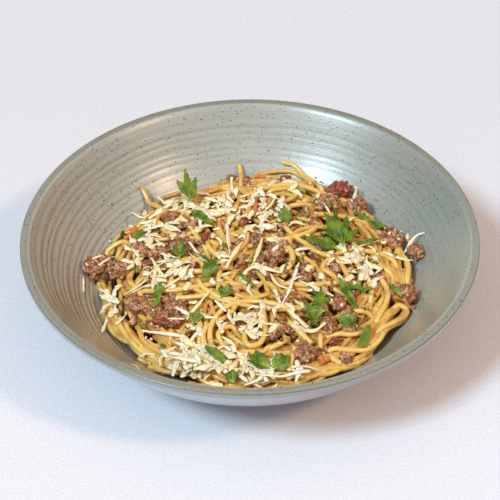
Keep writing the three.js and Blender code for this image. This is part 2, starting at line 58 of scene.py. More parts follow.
# Bowl
BOWL_RADIUS = 125
BOWL_HEIGHT = 60
INSIDE_RADIUS = 120.6
INSIDE_DEPTH = 53
INSIDE_FLATNESS = 4.4
INSIDE_FLARE = 1.25
WALL = 5.6
LIP_HEIGHT = 3.8
LIP_OVERHANG = 0.9
EDGE_ROUND = 0.8
FOOT_INNER = 46
FOOT_OUTER = 53
FOOT_HEIGHT = 2.2
BOWL_SIDES = 256
BOWL_PROFILE_STEP = 0.6
OUTSIDE_RADII = (60, 118.1, 1.4)
RIDGE_PITCH = 2.7
RIDGE_HEIGHT = 0.13
RIDGE_FROM = 34
RIDGE_TO = 112
RIDGE_FADES = (20, 8)
RIDGE_SIDE = 20

# Heap
HEAP_X = 3
HEAP_Y = 3
HEAP_REACH = 90
HEAP_REACH_RIGHT = 4
HEAP_TOP = 42
HEAP_EDGE = 27
HEAP_FALL = 2.4
HEAP_ROLL_START = 0.94
HEAP_ROLL = 970
SHOULDER = {"x": 24, "y": 58, "height": 6, "wide": 26, "deep": 22}
CORE_SHARE = 0.8
CORE_EDGE_DROP = 3.5
CORE_SINK = 6.5
CORE_LUMPS = 0.8
CORE_GAP = 0.6
CORE_SIDES = 160

# Strands
NOODLE_RADIUS = 1.5
NOODLE_FLATNESS = 0.94
NOODLE_END = 0.86
NOODLE_SAG = 0.03
NOODLE_PRESS = 0.25
NOODLE_DIVE = 4
DIVE_RUN = 7
WALL_SLACK = 0.3
SMOOTHINGS = 5
BEND_DRIFT = 0.008
WANDER_STEP = 6
ROUTES_TRIED = 10
EDGE_TURN = 0.76
EDGE_LIMIT = 0.94

# Loose strands of each layer: how many, how long, and how much of the heap they cover
LOOSE_STRANDS = {"bed": (95, 115, 0.95), "upper": (42, 90, 0.9), "top": (22, 62, 0.86)}

# Strands along the edge: how many, the angles they lie between, how far out, and how far they drift in
EDGE_RUNS = [
    (40, 0, 360, 0.78, 0.97, 0.16),
    (28, 214, 345, 0.9, 0.985, 0.03),
    (9, 222, 268, 0.92, 0.985, 0.0),
]

# Strand kinds: sides and step of the tube, how high it may pile on the nominal heap, and its give there
STRAND_KINDS = {
    "bed": (8, 1.9, -4.0, 0.15),
    "edge": (8, 1.9, -1.2, 0.3),
    "upper": (8, 1.8, -2.0, 0.2),
    "top": (12, 1.2, 0.2, 0.35),
    "standing": (12, 1.2, 0.8, 0.4),
}

# Ground grid
GRID = 0.4
GRID_HALF = 118

# Strands that stand out: plan route of each, and which of its ends sink into the heap
STRANDS = [
    ([(-36, 34), (-31, 20), (-22, 2)], "both"),
    ([(28, 10), (38, 2), (48, -3), (56, -20)], "both"),
    ([(36, -8), (44, -14), (50, -18)], "both"),
    ([(67, 7), (72, -1), (82, -11)], "both"),
    ([(84, 15), (88, 6), (88, -2), (86, -13)], "both"),
    ([(-80, 15), (-81, 22), (-74, 25), (-66, 25)], "end"),
    ([(-44, -17), (-41, -6), (-35, -1), (-28, -4), (-24, -13)], "both"),
    ([(-30, -14), (-25, -26), (-15, -34), (-4, -35)], "both"),
    ([(-19, -17), (-13, -26), (-7, -32), (1, -34), (9, -31), (12, -26)], "both"),
    ([(-21, 23), (-24, 14), (-22, 5), (-13, -5)], "both"),
    ([(-74, -33), (-67, -47), (-56, -61), (-46, -67)], "both"),
    ([(-68, -36), (-65, -47), (-54, -62)], "both"),
    ([(-61, -42), (-56, -56), (-43, -67)], "both"),
    ([(-44, -46), (-42, -52), (-43, -60)], "both"),
    ([(-24, -36), (-28, -44), (-26, -53), (-28, -66)], "both"),
    ([(-18, -48), (-23, -52), (-25, -59), (-22, -66)], "both"),
    ([(-4, -56), (-11, -52), (-17, -57), (-13, -64)], "both"),
    ([(6, -67), (13, -66), (18, -62), (20, -57)], "both"),
    ([(-30, -71), (-23, -74), (-16, -75)], "start"),
    ([(-23, -79), (-11, -76), (-3, -73)], "both"),
    ([(22, -61), (23, -69), (19, -80)], "both"),
    ([(48, -44), (54, -40), (62, -38), (68, -39)], "both"),
    ([(41, -55), (52, -55), (60, -52), (65, -46)], "both"),
    ([(38, -65), (58, -64), (66, -59), (71, -51), (69, -46)], "both"),
    ([(37, -52), (37, -65)], "start"),
    ([(65, -51), (74, -45), (82, -38), (85, -33), (81, -30), (75, -34)], "both"),
    ([(72, -14), (75, -21), (74, -29), (66, -47)], "end"),
    ([(36, -68), (47, -73)], "start"),
    ([(19, 10), (23, 1), (23, -7), (18, -14)], "both"),
    ([(4, 92), (21, 92), (30, 87), (38, 65)], "both"),
    ([(20, 96), (30, 90), (44, 60)], "end"),
    ([(-6, 96), (-5, 88), (-5, 69)], "end"),
    ([(-63, 73), (-55, 58), (-46, 42)], "end"),
    ([(-9, 70), (-2, 56), (1, 48), (-1, 38), (-8, 26)], "start"),
    ([(6, -37), (8, -55), (5, -64), (-1, -65), (-3, -59), (0, -52), (6, -50)], "start"),
    ([(21, -50), (32, -63)], "none"),
]

# Mince that shows between the strands: plan place and size
MINCE_BUMPS = [
    (-50, 9, 6.5), (-59, 15, 6), (-38, 11, 6), (-61, -28, 7), (-52, -33, 5.5), (-40, -35, 6),
    (-46, 43, 5), (13, 2, 7), (28, -16, 5.5), (45, -9, 5.5), (48, -34, 5), (42, -49, 5),
    (18, -34, 4.5), (3, -46, 4.5), (11, -57, 4.5), (50, -68, 4.5), (8, 38, 6.5), (70, -13, 4.5),
]

# Zones where small crumbs of mince fell, under and over the strands: place, spreads and how many
CRUMBS_UNDER = [
    (-50, 12, 16, 10, 16), (-48, -34, 18, 12, 16), (12, 8, 16, 22, 16), (42, -14, 18, 16, 14),
    (3, 3, 80, 76, 60),
]
CRUMBS_OVER = [
    (-46, 14, 18, 10, 9), (-50, -36, 16, 10, 8), (20, 0, 22, 24, 12), (40, -46, 24, 12, 8),
    (3, 3, 80, 76, 34),
]

# Big lumps, each in the place of its solid: half sizes and turn
MINCE_LUMPS = {
    "mince_far_left": ((9.5, 7, 7), 12),
    "mince_left_neck": ((6, 6, 5.5), 50),
    "mince_back": ((8, 6, 5), 0),
    "mince_back_right": ((6.5, 6, 5), 30),
    "mince_right": ((7, 7, 5.5), 35),
    "mince_right_tip": ((4, 5, 4), 40),
    "mince_right_edge": ((8, 6, 5.5), -12),
    "mince_front": ((6.5, 6.5, 4.5), 60),
}

# Pieces of tomato, each in the place of its solid: half sizes, turn, bend and roughness
TOMATO_LUMPS = {
    "tomato_back": ((7, 5.5, 5), 15, 0, 0.5),
    "tomato_left": ((8.5, 3.5, 3.2), -8, 1.2, 0.25),
}

# Small pieces of tomato and carrot: plan place, length, width, turn
TOMATO_BITS = [
    (21, 77, 6, 3.5, 30), (-25, 13, 9, 4, 70), (-3, 27, 6, 4, 0), (44, -60, 6, 4, 80),
    (56, -27, 5, 3, 20),
]
CARROT_BITS = [
    (3, 40, 7, 3.5, 80), (80, -28, 4, 3, 10), (38, -72, 6, 4, 30), (-68, 30, 9, 3, 60),
    (6, 84, 5, 3, 0),
]
BIT_ROUGHNESS = 0.9

# Parsley: node, place of its foot, length, width, the way it points, rise of its tip, and lobes
LEAVES = [
    ("leaf_back_left", -34, 50, 15, 12, 104, 19, 2),
    ("leaf_upper_left", -33, 42, 19, 5, -53, 0, 0),
    ("leaf_left_small", -60, 28, 8, 6, 195, 0, 0),
    ("leaf_left_point", -39, -3, 14, 9, 86, 4, 2),
    ("leaf_centre_tall", -26, -21, 17, 9, 62, 3, 2),
    ("leaf_centre_arm", -20, -6, 14, 3, 145, 1, 0),
    ("leaf_left_long", -52, -36, 15, 5, 76, 3, 0),
    ("leaf_centre_small", -16, -36, 10, 9, 60, 2, 2),
    ("leaf_middle_point", -31, -50, 8, 8, 60, 1, 2),
    ("leaf_back_small", 21, 25, 12, 8, 98, 3, 2),
    ("leaf_big_left", 50, 5, 22, 13, 159, 2, 3),
    ("leaf_big", 52, 7, 26, 22, 99, 8, 3),
    ("leaf_thin", 59, 13, 14, 6, 22, 1, 0),
    ("leaf_pair_left", 68, 36, 12, 8, 131, 3, 2),
    ("leaf_pair_right", 68, 39, 13, 8, -31, 0, 0),
    ("leaf_right_upper", 41, -42, 14, 11, 122, 3, 3),
    ("leaf_right_lower", 40, -43, 13, 13, 185, 1, 3),
    ("leaf_dark", 52, -22, 15, 4, -8, 1, 0),
    ("leaf_strip", 57, -38, 20, 5, 116, 2, 0),
    ("leaf_curved", 44, -44, 18, 9, -28, 1, 2),
    ("leaf_front_strip", 58, -63, 14, 4.5, 66, 2, 0),
    ("leaf_front_left", 10, -79, 12, 10, 154, 2, 1),
    ("leaf_front_right", 11, -79, 10, 10, 25, 2, 1),
    ("leaf_front_small", -13, -75, 14, 5, 142, 1, 0),
    ("leaf_rim", -9, -87, 6, 8, 95, 0, 2),
    ("stem_right", 82, -28, 12, 2.4, 121, 0, 0),
    ("stem_centre", 4, -25, 13, 2.4, 147, 1, 0),
]
LEAF_THICKNESS = 0.35
LEAF_FULLNESS = 0.75
LEAF_ROUNDNESS = 0.55
LEAF_WAVE = 0.07
LEAF_TEETH = 0.42
LEAF_FOLD = 0.12
LEAF_DRAPE = 3.5
LEAF_LIFT = 0.3
TOOTH_PITCH = 2.2
OUTLINE_STEP = 0.45

# Half outlines of lobed leaves, foot to tip, as shares of length and half width
LEAF_CORNERS = {
    1: [(0, 0.06), (0.2, 0.66), (0.29, 0.56), (0.5, 1.0), (0.56, 0.78), (0.82, 0.84), (0.84, 0.46), (1, 0)],
    2: [(0, 0.04), (0.16, 0.18), (0.36, 0.74), (0.66, 1.0), (0.6, 0.36), (1, 0)],
    3: [(0, 0.03), (0.13, 0.14), (0.27, 0.6), (0.47, 1.0), (0.5, 0.52), (0.86, 0.66), (0.68, 0.2), (1, 0)],
}

# Corners that a vein runs to
VEIN_CORNERS = {1: (3, 5), 2: (3,), 3: (3, 5)}

# Grated cheese that stands out: plan route and width of each shred
CHEESE_SHREDS = [
    ([(-44, -1), (-52, -6), (-60, -18)], 2.2), ([(-55, 4), (-51, -7), (-46, -16)], 1.9),
    ([(-52, -6), (-53, -23)], 2.0), ([(-13, 30), (-12, 15), (-11, 2)], 2.2),
    ([(-34, 12), (-28, 2), (-21, -3)], 1.8), ([(-69, 55), (-63, 47), (-58, 49)], 1.6),
    ([(-56, 72), (-49, 58)], 1.8), ([(87, 14), (94, 23), (99, 25)], 1.7),
    ([(74, 10), (82, 7), (91, 6)], 1.4), ([(60, 53), (63, 69)], 1.8),
    ([(42, 47), (46, 37)], 1.4), ([(16, -78), (26, -78), (36, -80)], 2.6),
    ([(3, -85), (15, -85), (31, -81)], 2.2), ([(31, -27), (39, -29), (45, -32)], 1.8),
    ([(-40, -38), (-33, -43)], 2.2), ([(-44, -45), (-35, -46)], 1.9),
    ([(-34, -45), (-27, -37), (-21, -28)], 2.2), ([(-58, -49), (-45, -54), (-33, -57)], 1.8),
    ([(-63, -74), (-60, -76), (-57, -80)], 0.9), ([(-83, -12), (-75, -23)], 1.4),
    ([(-80, -44), (-78, -32)], 1.6), ([(27, -7), (22, -26), (17, -40)], 2.0),
    ([(27, -22), (43, -31)], 1.5), ([(22, -53), (28, -56), (34, -56), (40, -50)], 2.2),
    ([(-19, -35), (-13, -44)], 1.8), ([(6, -37), (6, -56)], 1.8),
    ([(-92, 9), (-90, 2)], 2.2), ([(-84, 1), (-76, 11)], 2.6), ([(-88, 6), (-82, 9)], 1.4),
    ([(-93, 0), (-92, -13)], 1.0),
    ([(-26, 56), (-19, 50)], 2.0), ([(-11, 84), (-10, 62)], 1.4), ([(-36, 39), (-26, 48)], 1.6),
    ([(-3, -77), (-4, -85)], 1.5), ([(0, -75), (4, -81)], 1.5), ([(-39, -74), (-26, -74), (-20, -68)], 2.2),
    ([(-45, 55), (-51, 48), (-58, 42)], 2.6), ([(-39, 25), (-50, 31), (-60, 29)], 2.4),
    ([(-56, -14), (-62, -19), (-69, -23)], 2.2), ([(-32, -2), (-43, -10), (-45, -14)], 2.2),
    ([(11, -17), (15, -25), (24, -30)], 2.2), ([(7, 14), (4, -1), (0, -14)], 2.0),
    ([(-4, 10), (-10, -3), (-13, -12)], 2.4), ([(20, -43), (28, -51), (33, -54)], 2.6),
    ([(13, -26), (16, -39)], 2.0), ([(-5, -20), (2, -12), (17, -16)], 2.2),
    ([(74, 20), (62, 11), (52, 3)], 2.4), ([(-10, -79), (-6, -74), (0, -74), (2, -79)], 1.6),
    ([(-45, -72), (-35, -75)], 2.2), ([(-40, -76), (-30, -78)], 2.2), ([(-34, -82), (-33, -73)], 2.0),
    ([(-29, -83), (-26, -76)], 2.4), ([(-26, -82), (-29, -74)], 2.2), ([(-23, -83), (-17, -79)], 2.0),
    ([(-44, -73), (-39, -68)], 2.2), ([(-37, -79), (-27, -81)], 2.0),
]

# Zones where grated cheese fell: place, spreads and how many shreds
CHEESE_PILES = [
    (-31, -73, 16, 9, 110), (-78, -24, 4, 10, 16), (-30, 42, 20, 12, 60), (10, 40, 16, 24, 50),
    (-45, -10, 14, 12, 30), (8, -80, 16, 6, 45), (62, -4, 14, 16, 30), (0, -52, 18, 14, 36),
    (-56, 22, 12, 12, 20), (0, 5, 75, 70, 110), (-33, -78, 11, 4, 26),
]
CHEESE_CRUMBS = 260
CHEESE_LENGTH = (4, 14)
CHEESE_WIDTH = (1.4, 3.8)
CHEESE_SAG = 0.02
CHEESE_LAYER = (2.4, 0.4)
CHEESE_OPEN = 0.93
CHEESE_REACH = 1.02
CHEESE_GRAIN = (0.3, 0.75)
SHRED_RADIUS = 0.45
SHRED_STEP = 1.1
SHRED_PRESS = 0.1
SHRED_SIDES = 6
SHRED_END = 0.6

# Mince grains and crumbs
GRAIN = 0.75
GRAIN_SPACING = 2.6
GRAIN_SHAPE = (1.5, 0.8, 0.65)
MIDDLE_SHARE = 0.94
CUTS = 6
DENT_SIZE = 2.4
DENT_DEPTH = 0.3
LUMP_CRUMBS = 12
PATCH_RISE = 2.5
CRUMB_KINDS = 9
CRUMB_BITS = 5
CRUMB_GRAIN = 0.5
CRUMB_REACH = 2.4
CRUMB_SIZE = (1.3, 3.4)
CRUMB_CEILING = 1.8
CRUMB_SINK = 0.35
CRUMBS_REACH = 0.97

# How far from a zone's middle things fall, as a share of its spread
ZONE_SPREAD = 0.6

# Skins over grains of mince: size of their squares, how rough they are, and how wide that is
LUMP_SKIN = (0.48, 0.24, 1.0)
CRUMB_SKIN = (0.5, 0.16, 0.9)

# Flecks and drops
PARSLEY_FLECKS = 46
FLECK_LENGTH = (1.6, 4.2)
FLECK_RISE = 0.3
FLECKS_REACH = 0.92
OIL_DROPS = [
    (-66, 73), (-64, 62), (-52, 50), (-71, 66), (-57, 80), (102, 22), (-84, 40), (62, -74),
]

# A height beyond everything
NO_LIMIT = 1000

# Table and camera, the camera fitted to the photo, with its angles in degrees
TABLE_HALF = 900
CAMERA_PLACE = (0.05, -692.7, 634.7)
CAMERA_DOWN = 40.34
CAMERA_ROLL = -0.31
CAMERA_LENS = 118.7
CAMERA_SENSOR = 36

# Soft lamps: the way to each, how wide it looks in degrees, and its strength in each channel
LAMPS = {
    "left_box": ((-0.507, -0.405, 0.76), 13, (1.46, 2.06, 2.40)),
    "right_box": ((0.606, -0.314, 0.73), 8, (0.98, 0.66, 0.40)),
}

# Room light: the way it comes from, where it starts and is full along that way, and its strength
ROOM_COLOUR = (1.0, 0.85, 0.77, 1.0)
ROOM_LIGHT = [((0, 0, 1), -0.1, 0.75, 0.47), ((-0.25, -0.5, 0.83), 0.6, 0.97, 0.5)]


# Bowl's form
def inside_height(radius):
    share = np.minimum(radius / INSIDE_RADIUS, 1)
    return BOWL_HEIGHT - INSIDE_DEPTH * (1 - share**INSIDE_FLATNESS) ** INSIDE_FLARE


def inside_slope(radius):
    step = 0.01
    return (inside_height(radius + step) - inside_height(radius - step)) / (2 * step)


def outside_point(radius):
    slope = inside_slope(radius)
    scale = WALL / math.hypot(1, slope)
    return radius + slope * scale, inside_height(radius) - scale


def wall_height(x, y):
    return inside_height(np.hypot(x, y))


# Heap's form
def heap_share(x, y):
    angle = np.arctan2(y - HEAP_Y, x - HEAP_X)
    return np.hypot(x - HEAP_X, y - HEAP_Y) / (HEAP_REACH + HEAP_REACH_RIGHT * np.cos(angle))


def heap_height(x, y):
    share = heap_share(x, y)
    across = ((x - SHOULDER["x"]) / SHOULDER["wide"]) ** 2
    along = ((y - SHOULDER["y"]) / SHOULDER["deep"]) ** 2
    shoulder = SHOULDER["height"] * np.exp(-across - along)
    roll = np.maximum(share - HEAP_ROLL_START, 0) ** 2 * HEAP_ROLL
    return HEAP_TOP - (HEAP_TOP - HEAP_EDGE) * share**HEAP_FALL + shoulder - roll


def core_height(x, y):
    return heap_height(x, y) - CORE_SINK - CORE_EDGE_DROP * (heap_share(x, y) / CORE_SHARE) ** 8


# Height of everything laid so far, on a square grid
class Ground:
    def __init__(self):
        axis = np.arange(-GRID_HALF, GRID_HALF + GRID / 2, GRID)
        x, y = np.meshgrid(axis, axis)
        core = np.where(heap_share(x, y) < CORE_SHARE, core_height(x, y), 0)
        self.count = len(axis)
        self.height = np.maximum(wall_height(x, y), core).ravel()

    def under(self, x, y, radius):
        """The cells under a ball, and how far the ball's surface is from its middle at each."""
        reach = math.ceil(radius / GRID)
        steps = np.arange(-reach, reach + 1)
        rows = np.rint((y + GRID_HALF) / GRID).astype(int)[:, None, None] + steps[None, :, None]
        columns = np.rint((x + GRID_HALF) / GRID).astype(int)[:, None, None] + steps[None, None, :]
        across = columns * GRID - GRID_HALF - x[:, None, None]
        along = rows * GRID - GRID_HALF - y[:, None, None]
        inside = radius**2 - across**2 - along**2
        cap = np.where(inside >= 0, np.sqrt(np.maximum(inside, 0)), -NO_LIMIT)
        rows = np.clip(rows, 0, self.count - 1)
        columns = np.clip(columns, 0, self.count - 1)
        return rows * self.count + columns, cap

    def rest(self, x, y, radius):
        """Height of a ball's middle when it is dropped at each place."""
        cells, cap = self.under(x, y, radius)
        return (self.height[cells] + cap).reshape(len(x), -1).max(1)

    def rest_one(self, x, y, radius):
        return float(self.rest(np.array([x], float), np.array([y], float), radius)[0])

    def cover(self, line, radius):
        cells, cap = self.under(line[:, 0], line[:, 1], radius)
        np.maximum.at(self.height, cells.ravel(), (line[:, 2, None, None] + cap).ravel())


# Many small shapes gathered as one mesh, with a tone for each point
class Shapes:
    def __init__(self):
        self.points = []
        self.faces = []
        self.tones = []
        self.count = 0

    def add(self, points, faces, tone=0.0):
        self.points.append(points)
        self.faces.append(np.asarray(faces) + self.count)
        self.tones.append(np.broadcast_to(tone, len(points)))
        self.count += len(points)

    def to_object(self, name, material):
        points = np.concatenate(self.points).astype(np.float32) * MM
        faces = np.concatenate(self.faces).astype(np.int32)
        mesh = bpy.data.meshes.new(name)
        mesh.vertices.add(len(points))
        mesh.vertices.foreach_set("co", points.ravel())
        mesh.loops.add(faces.size)
        mesh.loops.foreach_set("vertex_index", faces.ravel())
        mesh.polygons.add(len(faces))
        mesh.polygons.foreach_set("loop_start", np.arange(0, faces.size, 3, dtype=np.int32))
        mesh.polygons.foreach_set("use_smooth", np.ones(len(faces), bool))
        if any(np.any(tone) for tone in self.tones):
            tones = np.concatenate(self.tones).astype(np.float32)
            mesh.attributes.new("tone", "FLOAT", "POINT").data.foreach_set("value", tones)
        mesh.update(calc_edges=True)
        if material:
            mesh.materials.append(material)
        piece = bpy.data.objects.new(name, mesh)
        bpy.context.scene.collection.objects.link(piece)
        return piece


def random_for(layer, index=0):
    return np.random.default_rng([SEED, GROUPS[layer] + index])


# Even points of a smooth curve through a plan route
def even_route(route, step):
    points = np.array(route, float)
    ends = (2 * points[:1] - points[1:2], 2 * points[-1:] - points[-2:-1])
    padded = np.vstack([ends[0], points, ends[1]])
    share = np.linspace(0, 1, 24, endpoint=False)[:, None]
    pieces = [
        b + share * ((c - a) + share * ((2 * a - 5 * b + 4 * c - d) + share * (3 * b - a - 3 * c + d))) / 2
        for a, b, c, d in zip(padded, padded[1:], padded[2:], padded[3:])
    ]
    dense = np.vstack([*pieces, points[-1:]])
    along = np.concatenate([[0], np.cumsum(np.hypot(*np.diff(dense, axis=0).T))])
    even = np.linspace(0, along[-1], max(4, round(along[-1] / step) + 1))
    return np.stack([np.interp(even, along, dense[:, 0]), np.interp(even, along, dense[:, 1])], axis=1)


def eased(share):
    share = np.clip(share, 0, 1)
    return share * share * (3 - 2 * share)


# A strand laid over the ground: it rests on the highest places and sags between them
def lay(ground, route, radius, step, sag, press, layer, sinks="none", open_from=2.0):
    plan = even_route(route, step)
    along = np.concatenate([[0], np.cumsum(np.hypot(*np.diff(plan, axis=0).T))])
    low = ground.rest(plan[:, 0], plan[:, 1], radius)
    gaps = along[:, None] - along[None, :]
    z = (low[None, :] - sag * gaps**2).max(1) - press
    ceiling, give = layer
    wall = wall_height(plan[:, 0], plan[:, 1]) + radius
    limit = np.maximum(heap_height(plan[:, 0], plan[:, 1]) + ceiling, wall + WALL_SLACK)
    limit[heap_share(plan[:, 0], plan[:, 1]) > open_from] = NO_LIMIT
    z = np.minimum(z, limit + give * (z - limit))
    for _ in range(SMOOTHINGS):
        z[1:-1] = (z[:-2] + 2 * z[1:-1] + z[2:]) / 4
    if sinks in ("both", "start"):
        z -= NOODLE_DIVE * (1 - eased(along / DIVE_RUN))
    if sinks in ("both", "end"):
        z -= NOODLE_DIVE * (1 - eased((along[-1] - along) / DIVE_RUN))
    z = np.maximum(z, np.minimum(wall, low))
    line = np.column_stack([plan, z])
    fine = np.arange(0, along[-1], GRID)
    ground.cover(np.column_stack([np.interp(fine, along, line[:, axis]) for axis in range(3)]), radius)
    return line


# Triangles between rings of points, each ring wrapping round
def band_faces(count, sides):
    here = (np.arange(count - 1)[:, None] * sides + np.arange(sides)[None, :]).ravel()
    beside = (np.arange(count - 1)[:, None] * sides + (np.arange(sides) + 1)[None, :] % sides).ravel()
    return [
        np.column_stack([here, here + sides, beside]),
        np.column_stack([beside, here + sides, beside + sides]),
    ]


# A closed surface from rings of points, with a pole at each end
def wrapped_surface(rings, first, last):
    count, sides = rings.shape[:2]
    points = np.vstack([rings.reshape(-1, 3), [first], [last]])
    edge = np.arange(sides)
    following = (edge + 1) % sides
    pole = np.full(sides, count * sides)
    end = (count - 1) * sides
    faces = [
        *band_faces(count, sides),
        np.column_stack([pole, edge, following]),
        np.column_stack([pole + 1, end + following, end + edge]),
    ]
    return points, np.vstack(faces)


# A tube along a line: half its width and thickness at each point, and its roll there
def add_tube(shapes, line, wide, thick, sides, roll=0.0, tone=0.0, blunt=0.75):
    count = len(line)
    wide = np.broadcast_to(wide, count)
    thick = np.broadcast_to(thick, count)
    roll = np.broadcast_to(roll, count)[:, None]
    tangent = np.gradient(line, axis=0)
    tangent /= np.linalg.norm(tangent, axis=1)[:, None]
    side = np.column_stack([tangent[:, 1], -tangent[:, 0], np.zeros(count)])
    side /= np.maximum(np.linalg.norm(side, axis=1)[:, None], 1e-6)
    normal = np.cross(side, tangent)
    side, normal = side * np.cos(roll) + normal * np.sin(roll), normal * np.cos(roll) - side * np.sin(roll)
    order = np.concatenate([[0], np.arange(count), [count - 1]])
    shrink = np.concatenate([[blunt], np.ones(count), [blunt]])
    reach = 0.3 * np.minimum(wide, thick)
    push = np.zeros((count + 2, 3))
    push[0] = -tangent[0] * reach[0]
    push[-1] = tangent[-1] * reach[-1]
    centre = line[order] + push
    angle = 2 * np.pi * np.arange(sides) / sides
    rings = (
        (side[order] * (wide[order] * shrink)[:, None])[:, None, :] * np.cos(angle)[None, :, None]
        + (normal[order] * (thick[order] * shrink)[:, None])[:, None, :] * np.sin(angle)[None, :, None]
    )
    first = centre[0] - tangent[0] * 0.1 * reach[0]
    last = centre[-1] + tangent[-1] * 0.1 * reach[-1]
    shapes.add(*wrapped_surface(centre[:, None, :] + rings, first, last), tone)


def ball(detail):
    """A round ball of radius 1, as points and triangles."""
    mesh = bpy.data.meshes.new("ball")
    shape = bmesh.new()
    bmesh.ops.create_icosphere(shape, subdivisions=detail, radius=1)
    shape.to_mesh(mesh)
    shape.free()
    points = np.array([v.co for v in mesh.vertices])
    faces = np.array([p.vertices for p in mesh.polygons])
    bpy.data.meshes.remove(mesh)
    return points, faces


# Materials
def srgb(red, green, blue):
    """A screen colour, 0 to 255 a channel, as the linear colour that a shader takes."""
    shares = [value / 255 for value in (red, green, blue)]
    return (*[s / 12.92 if s <= 0.04045 else ((s + 0.055) / 1.055) ** 2.4 for s in shares], 1.0)


class Term:
    """A value that shader nodes work out, added and multiplied like a number."""

    def __init__(self, nodes, socket):
        self.nodes = nodes
        self.socket = socket

    def __add__(self, other):
        return self.nodes.math("ADD", self, other)

    def __mul__(self, other):
        return self.nodes.math("MULTIPLY", self, other)

    def __sub__(self, other):
        return self.nodes.math("SUBTRACT", self, other)

    def __rsub__(self, other):
        return self.nodes.math("SUBTRACT", other, self)

    __rmul__ = __mul__


class Nodes:
    """The nodes of a material or of the room, with short ways to add more."""

    def __init__(self, tree):
        self.tree = tree

    def link(self, source, socket):
        if isinstance(source, Term):
            self.tree.links.new(source.socket, socket)
        else:
            socket.default_value = source

    def node(self, kind, **inputs):
        """A node of a kind, with what goes into its named sockets."""
        node = self.tree.nodes.new("ShaderNode" + kind)
        for socket, source in inputs.items():
            self.link(source, node.inputs[socket.replace("_", " ")])
        return node

    def output(self, kind, name):
        return Term(self, self.node(kind).outputs[name])

    def between(self, value, low, high):
        """0 below low, 1 above high, and smooth between them."""
        node = self.node("MapRange", Value=value, From_Min=low, From_Max=high)
        node.interpolation_type = "SMOOTHSTEP"
        return Term(self, node.outputs["Result"])

    def math(self, operation, first, second=0.0):
        node = self.node("Math")
        node.operation = operation
        self.link(first, node.inputs[0])
        self.link(second, node.inputs[1])
        return Term(self, node.outputs[0])


class Finish(Nodes):
    """A node material."""

    def __init__(self, name, **shader):
        self.material = bpy.data.materials.new(name)
        self.material.use_nodes = True
        super().__init__(self.material.node_tree)
        self.shader = self.tree.nodes["Principled BSDF"]
        for socket, value in shader.items():
            self.shader.inputs[socket.replace("_", " ")].default_value = value
        self.place = self.output("TexCoord", "Object")

    def axes(self, place=None):
        node = self.node("SeparateXYZ", Vector=place or self.place)
        return [Term(self, socket) for socket in node.outputs]

    def noise(self, size, detail=3.0, place=None, rough=0.55):
        """Smooth noise about 0.5, with blobs of a size in millimetres."""
        scale = 1 / (size * MM)
        place = place or self.place
        node = self.node("TexNoise", Vector=place, Scale=scale, Detail=detail, Roughness=rough)
        return Term(self, node.outputs["Fac"])

    def cells(self, size):
        """Cells of a size in millimetres: how far their middles are, and a random colour for each."""
        node = self.node("TexVoronoi", Vector=self.place, Scale=1 / (size * MM))
        return Term(self, node.outputs["Distance"]), Term(self, node.outputs["Color"])

    def mix(self, share, first, second):
        node = self.node("Mix")
        node.data_type = "RGBA"
        self.link(share, node.inputs[0])
        self.link(first, node.inputs[6])
        self.link(second, node.inputs[7])
        return Term(self, node.outputs[2])

    def tone(self):
        node = self.node("Attribute")
        node.attribute_name = "tone"
        return Term(self, node.outputs["Fac"])

    def colour(self, source):
        self.link(source, self.shader.inputs["Base Color"])

    def roughness(self, source):
        self.link(source, self.shader.inputs["Roughness"])

    def bump(self, height, depth, strength=1.0):
        """Relief of a depth in millimetres."""
        node = self.node("Bump", Strength=strength, Distance=depth * MM, Height=height)
        self.tree.links.new(node.outputs["Normal"], self.shader.inputs["Normal"])


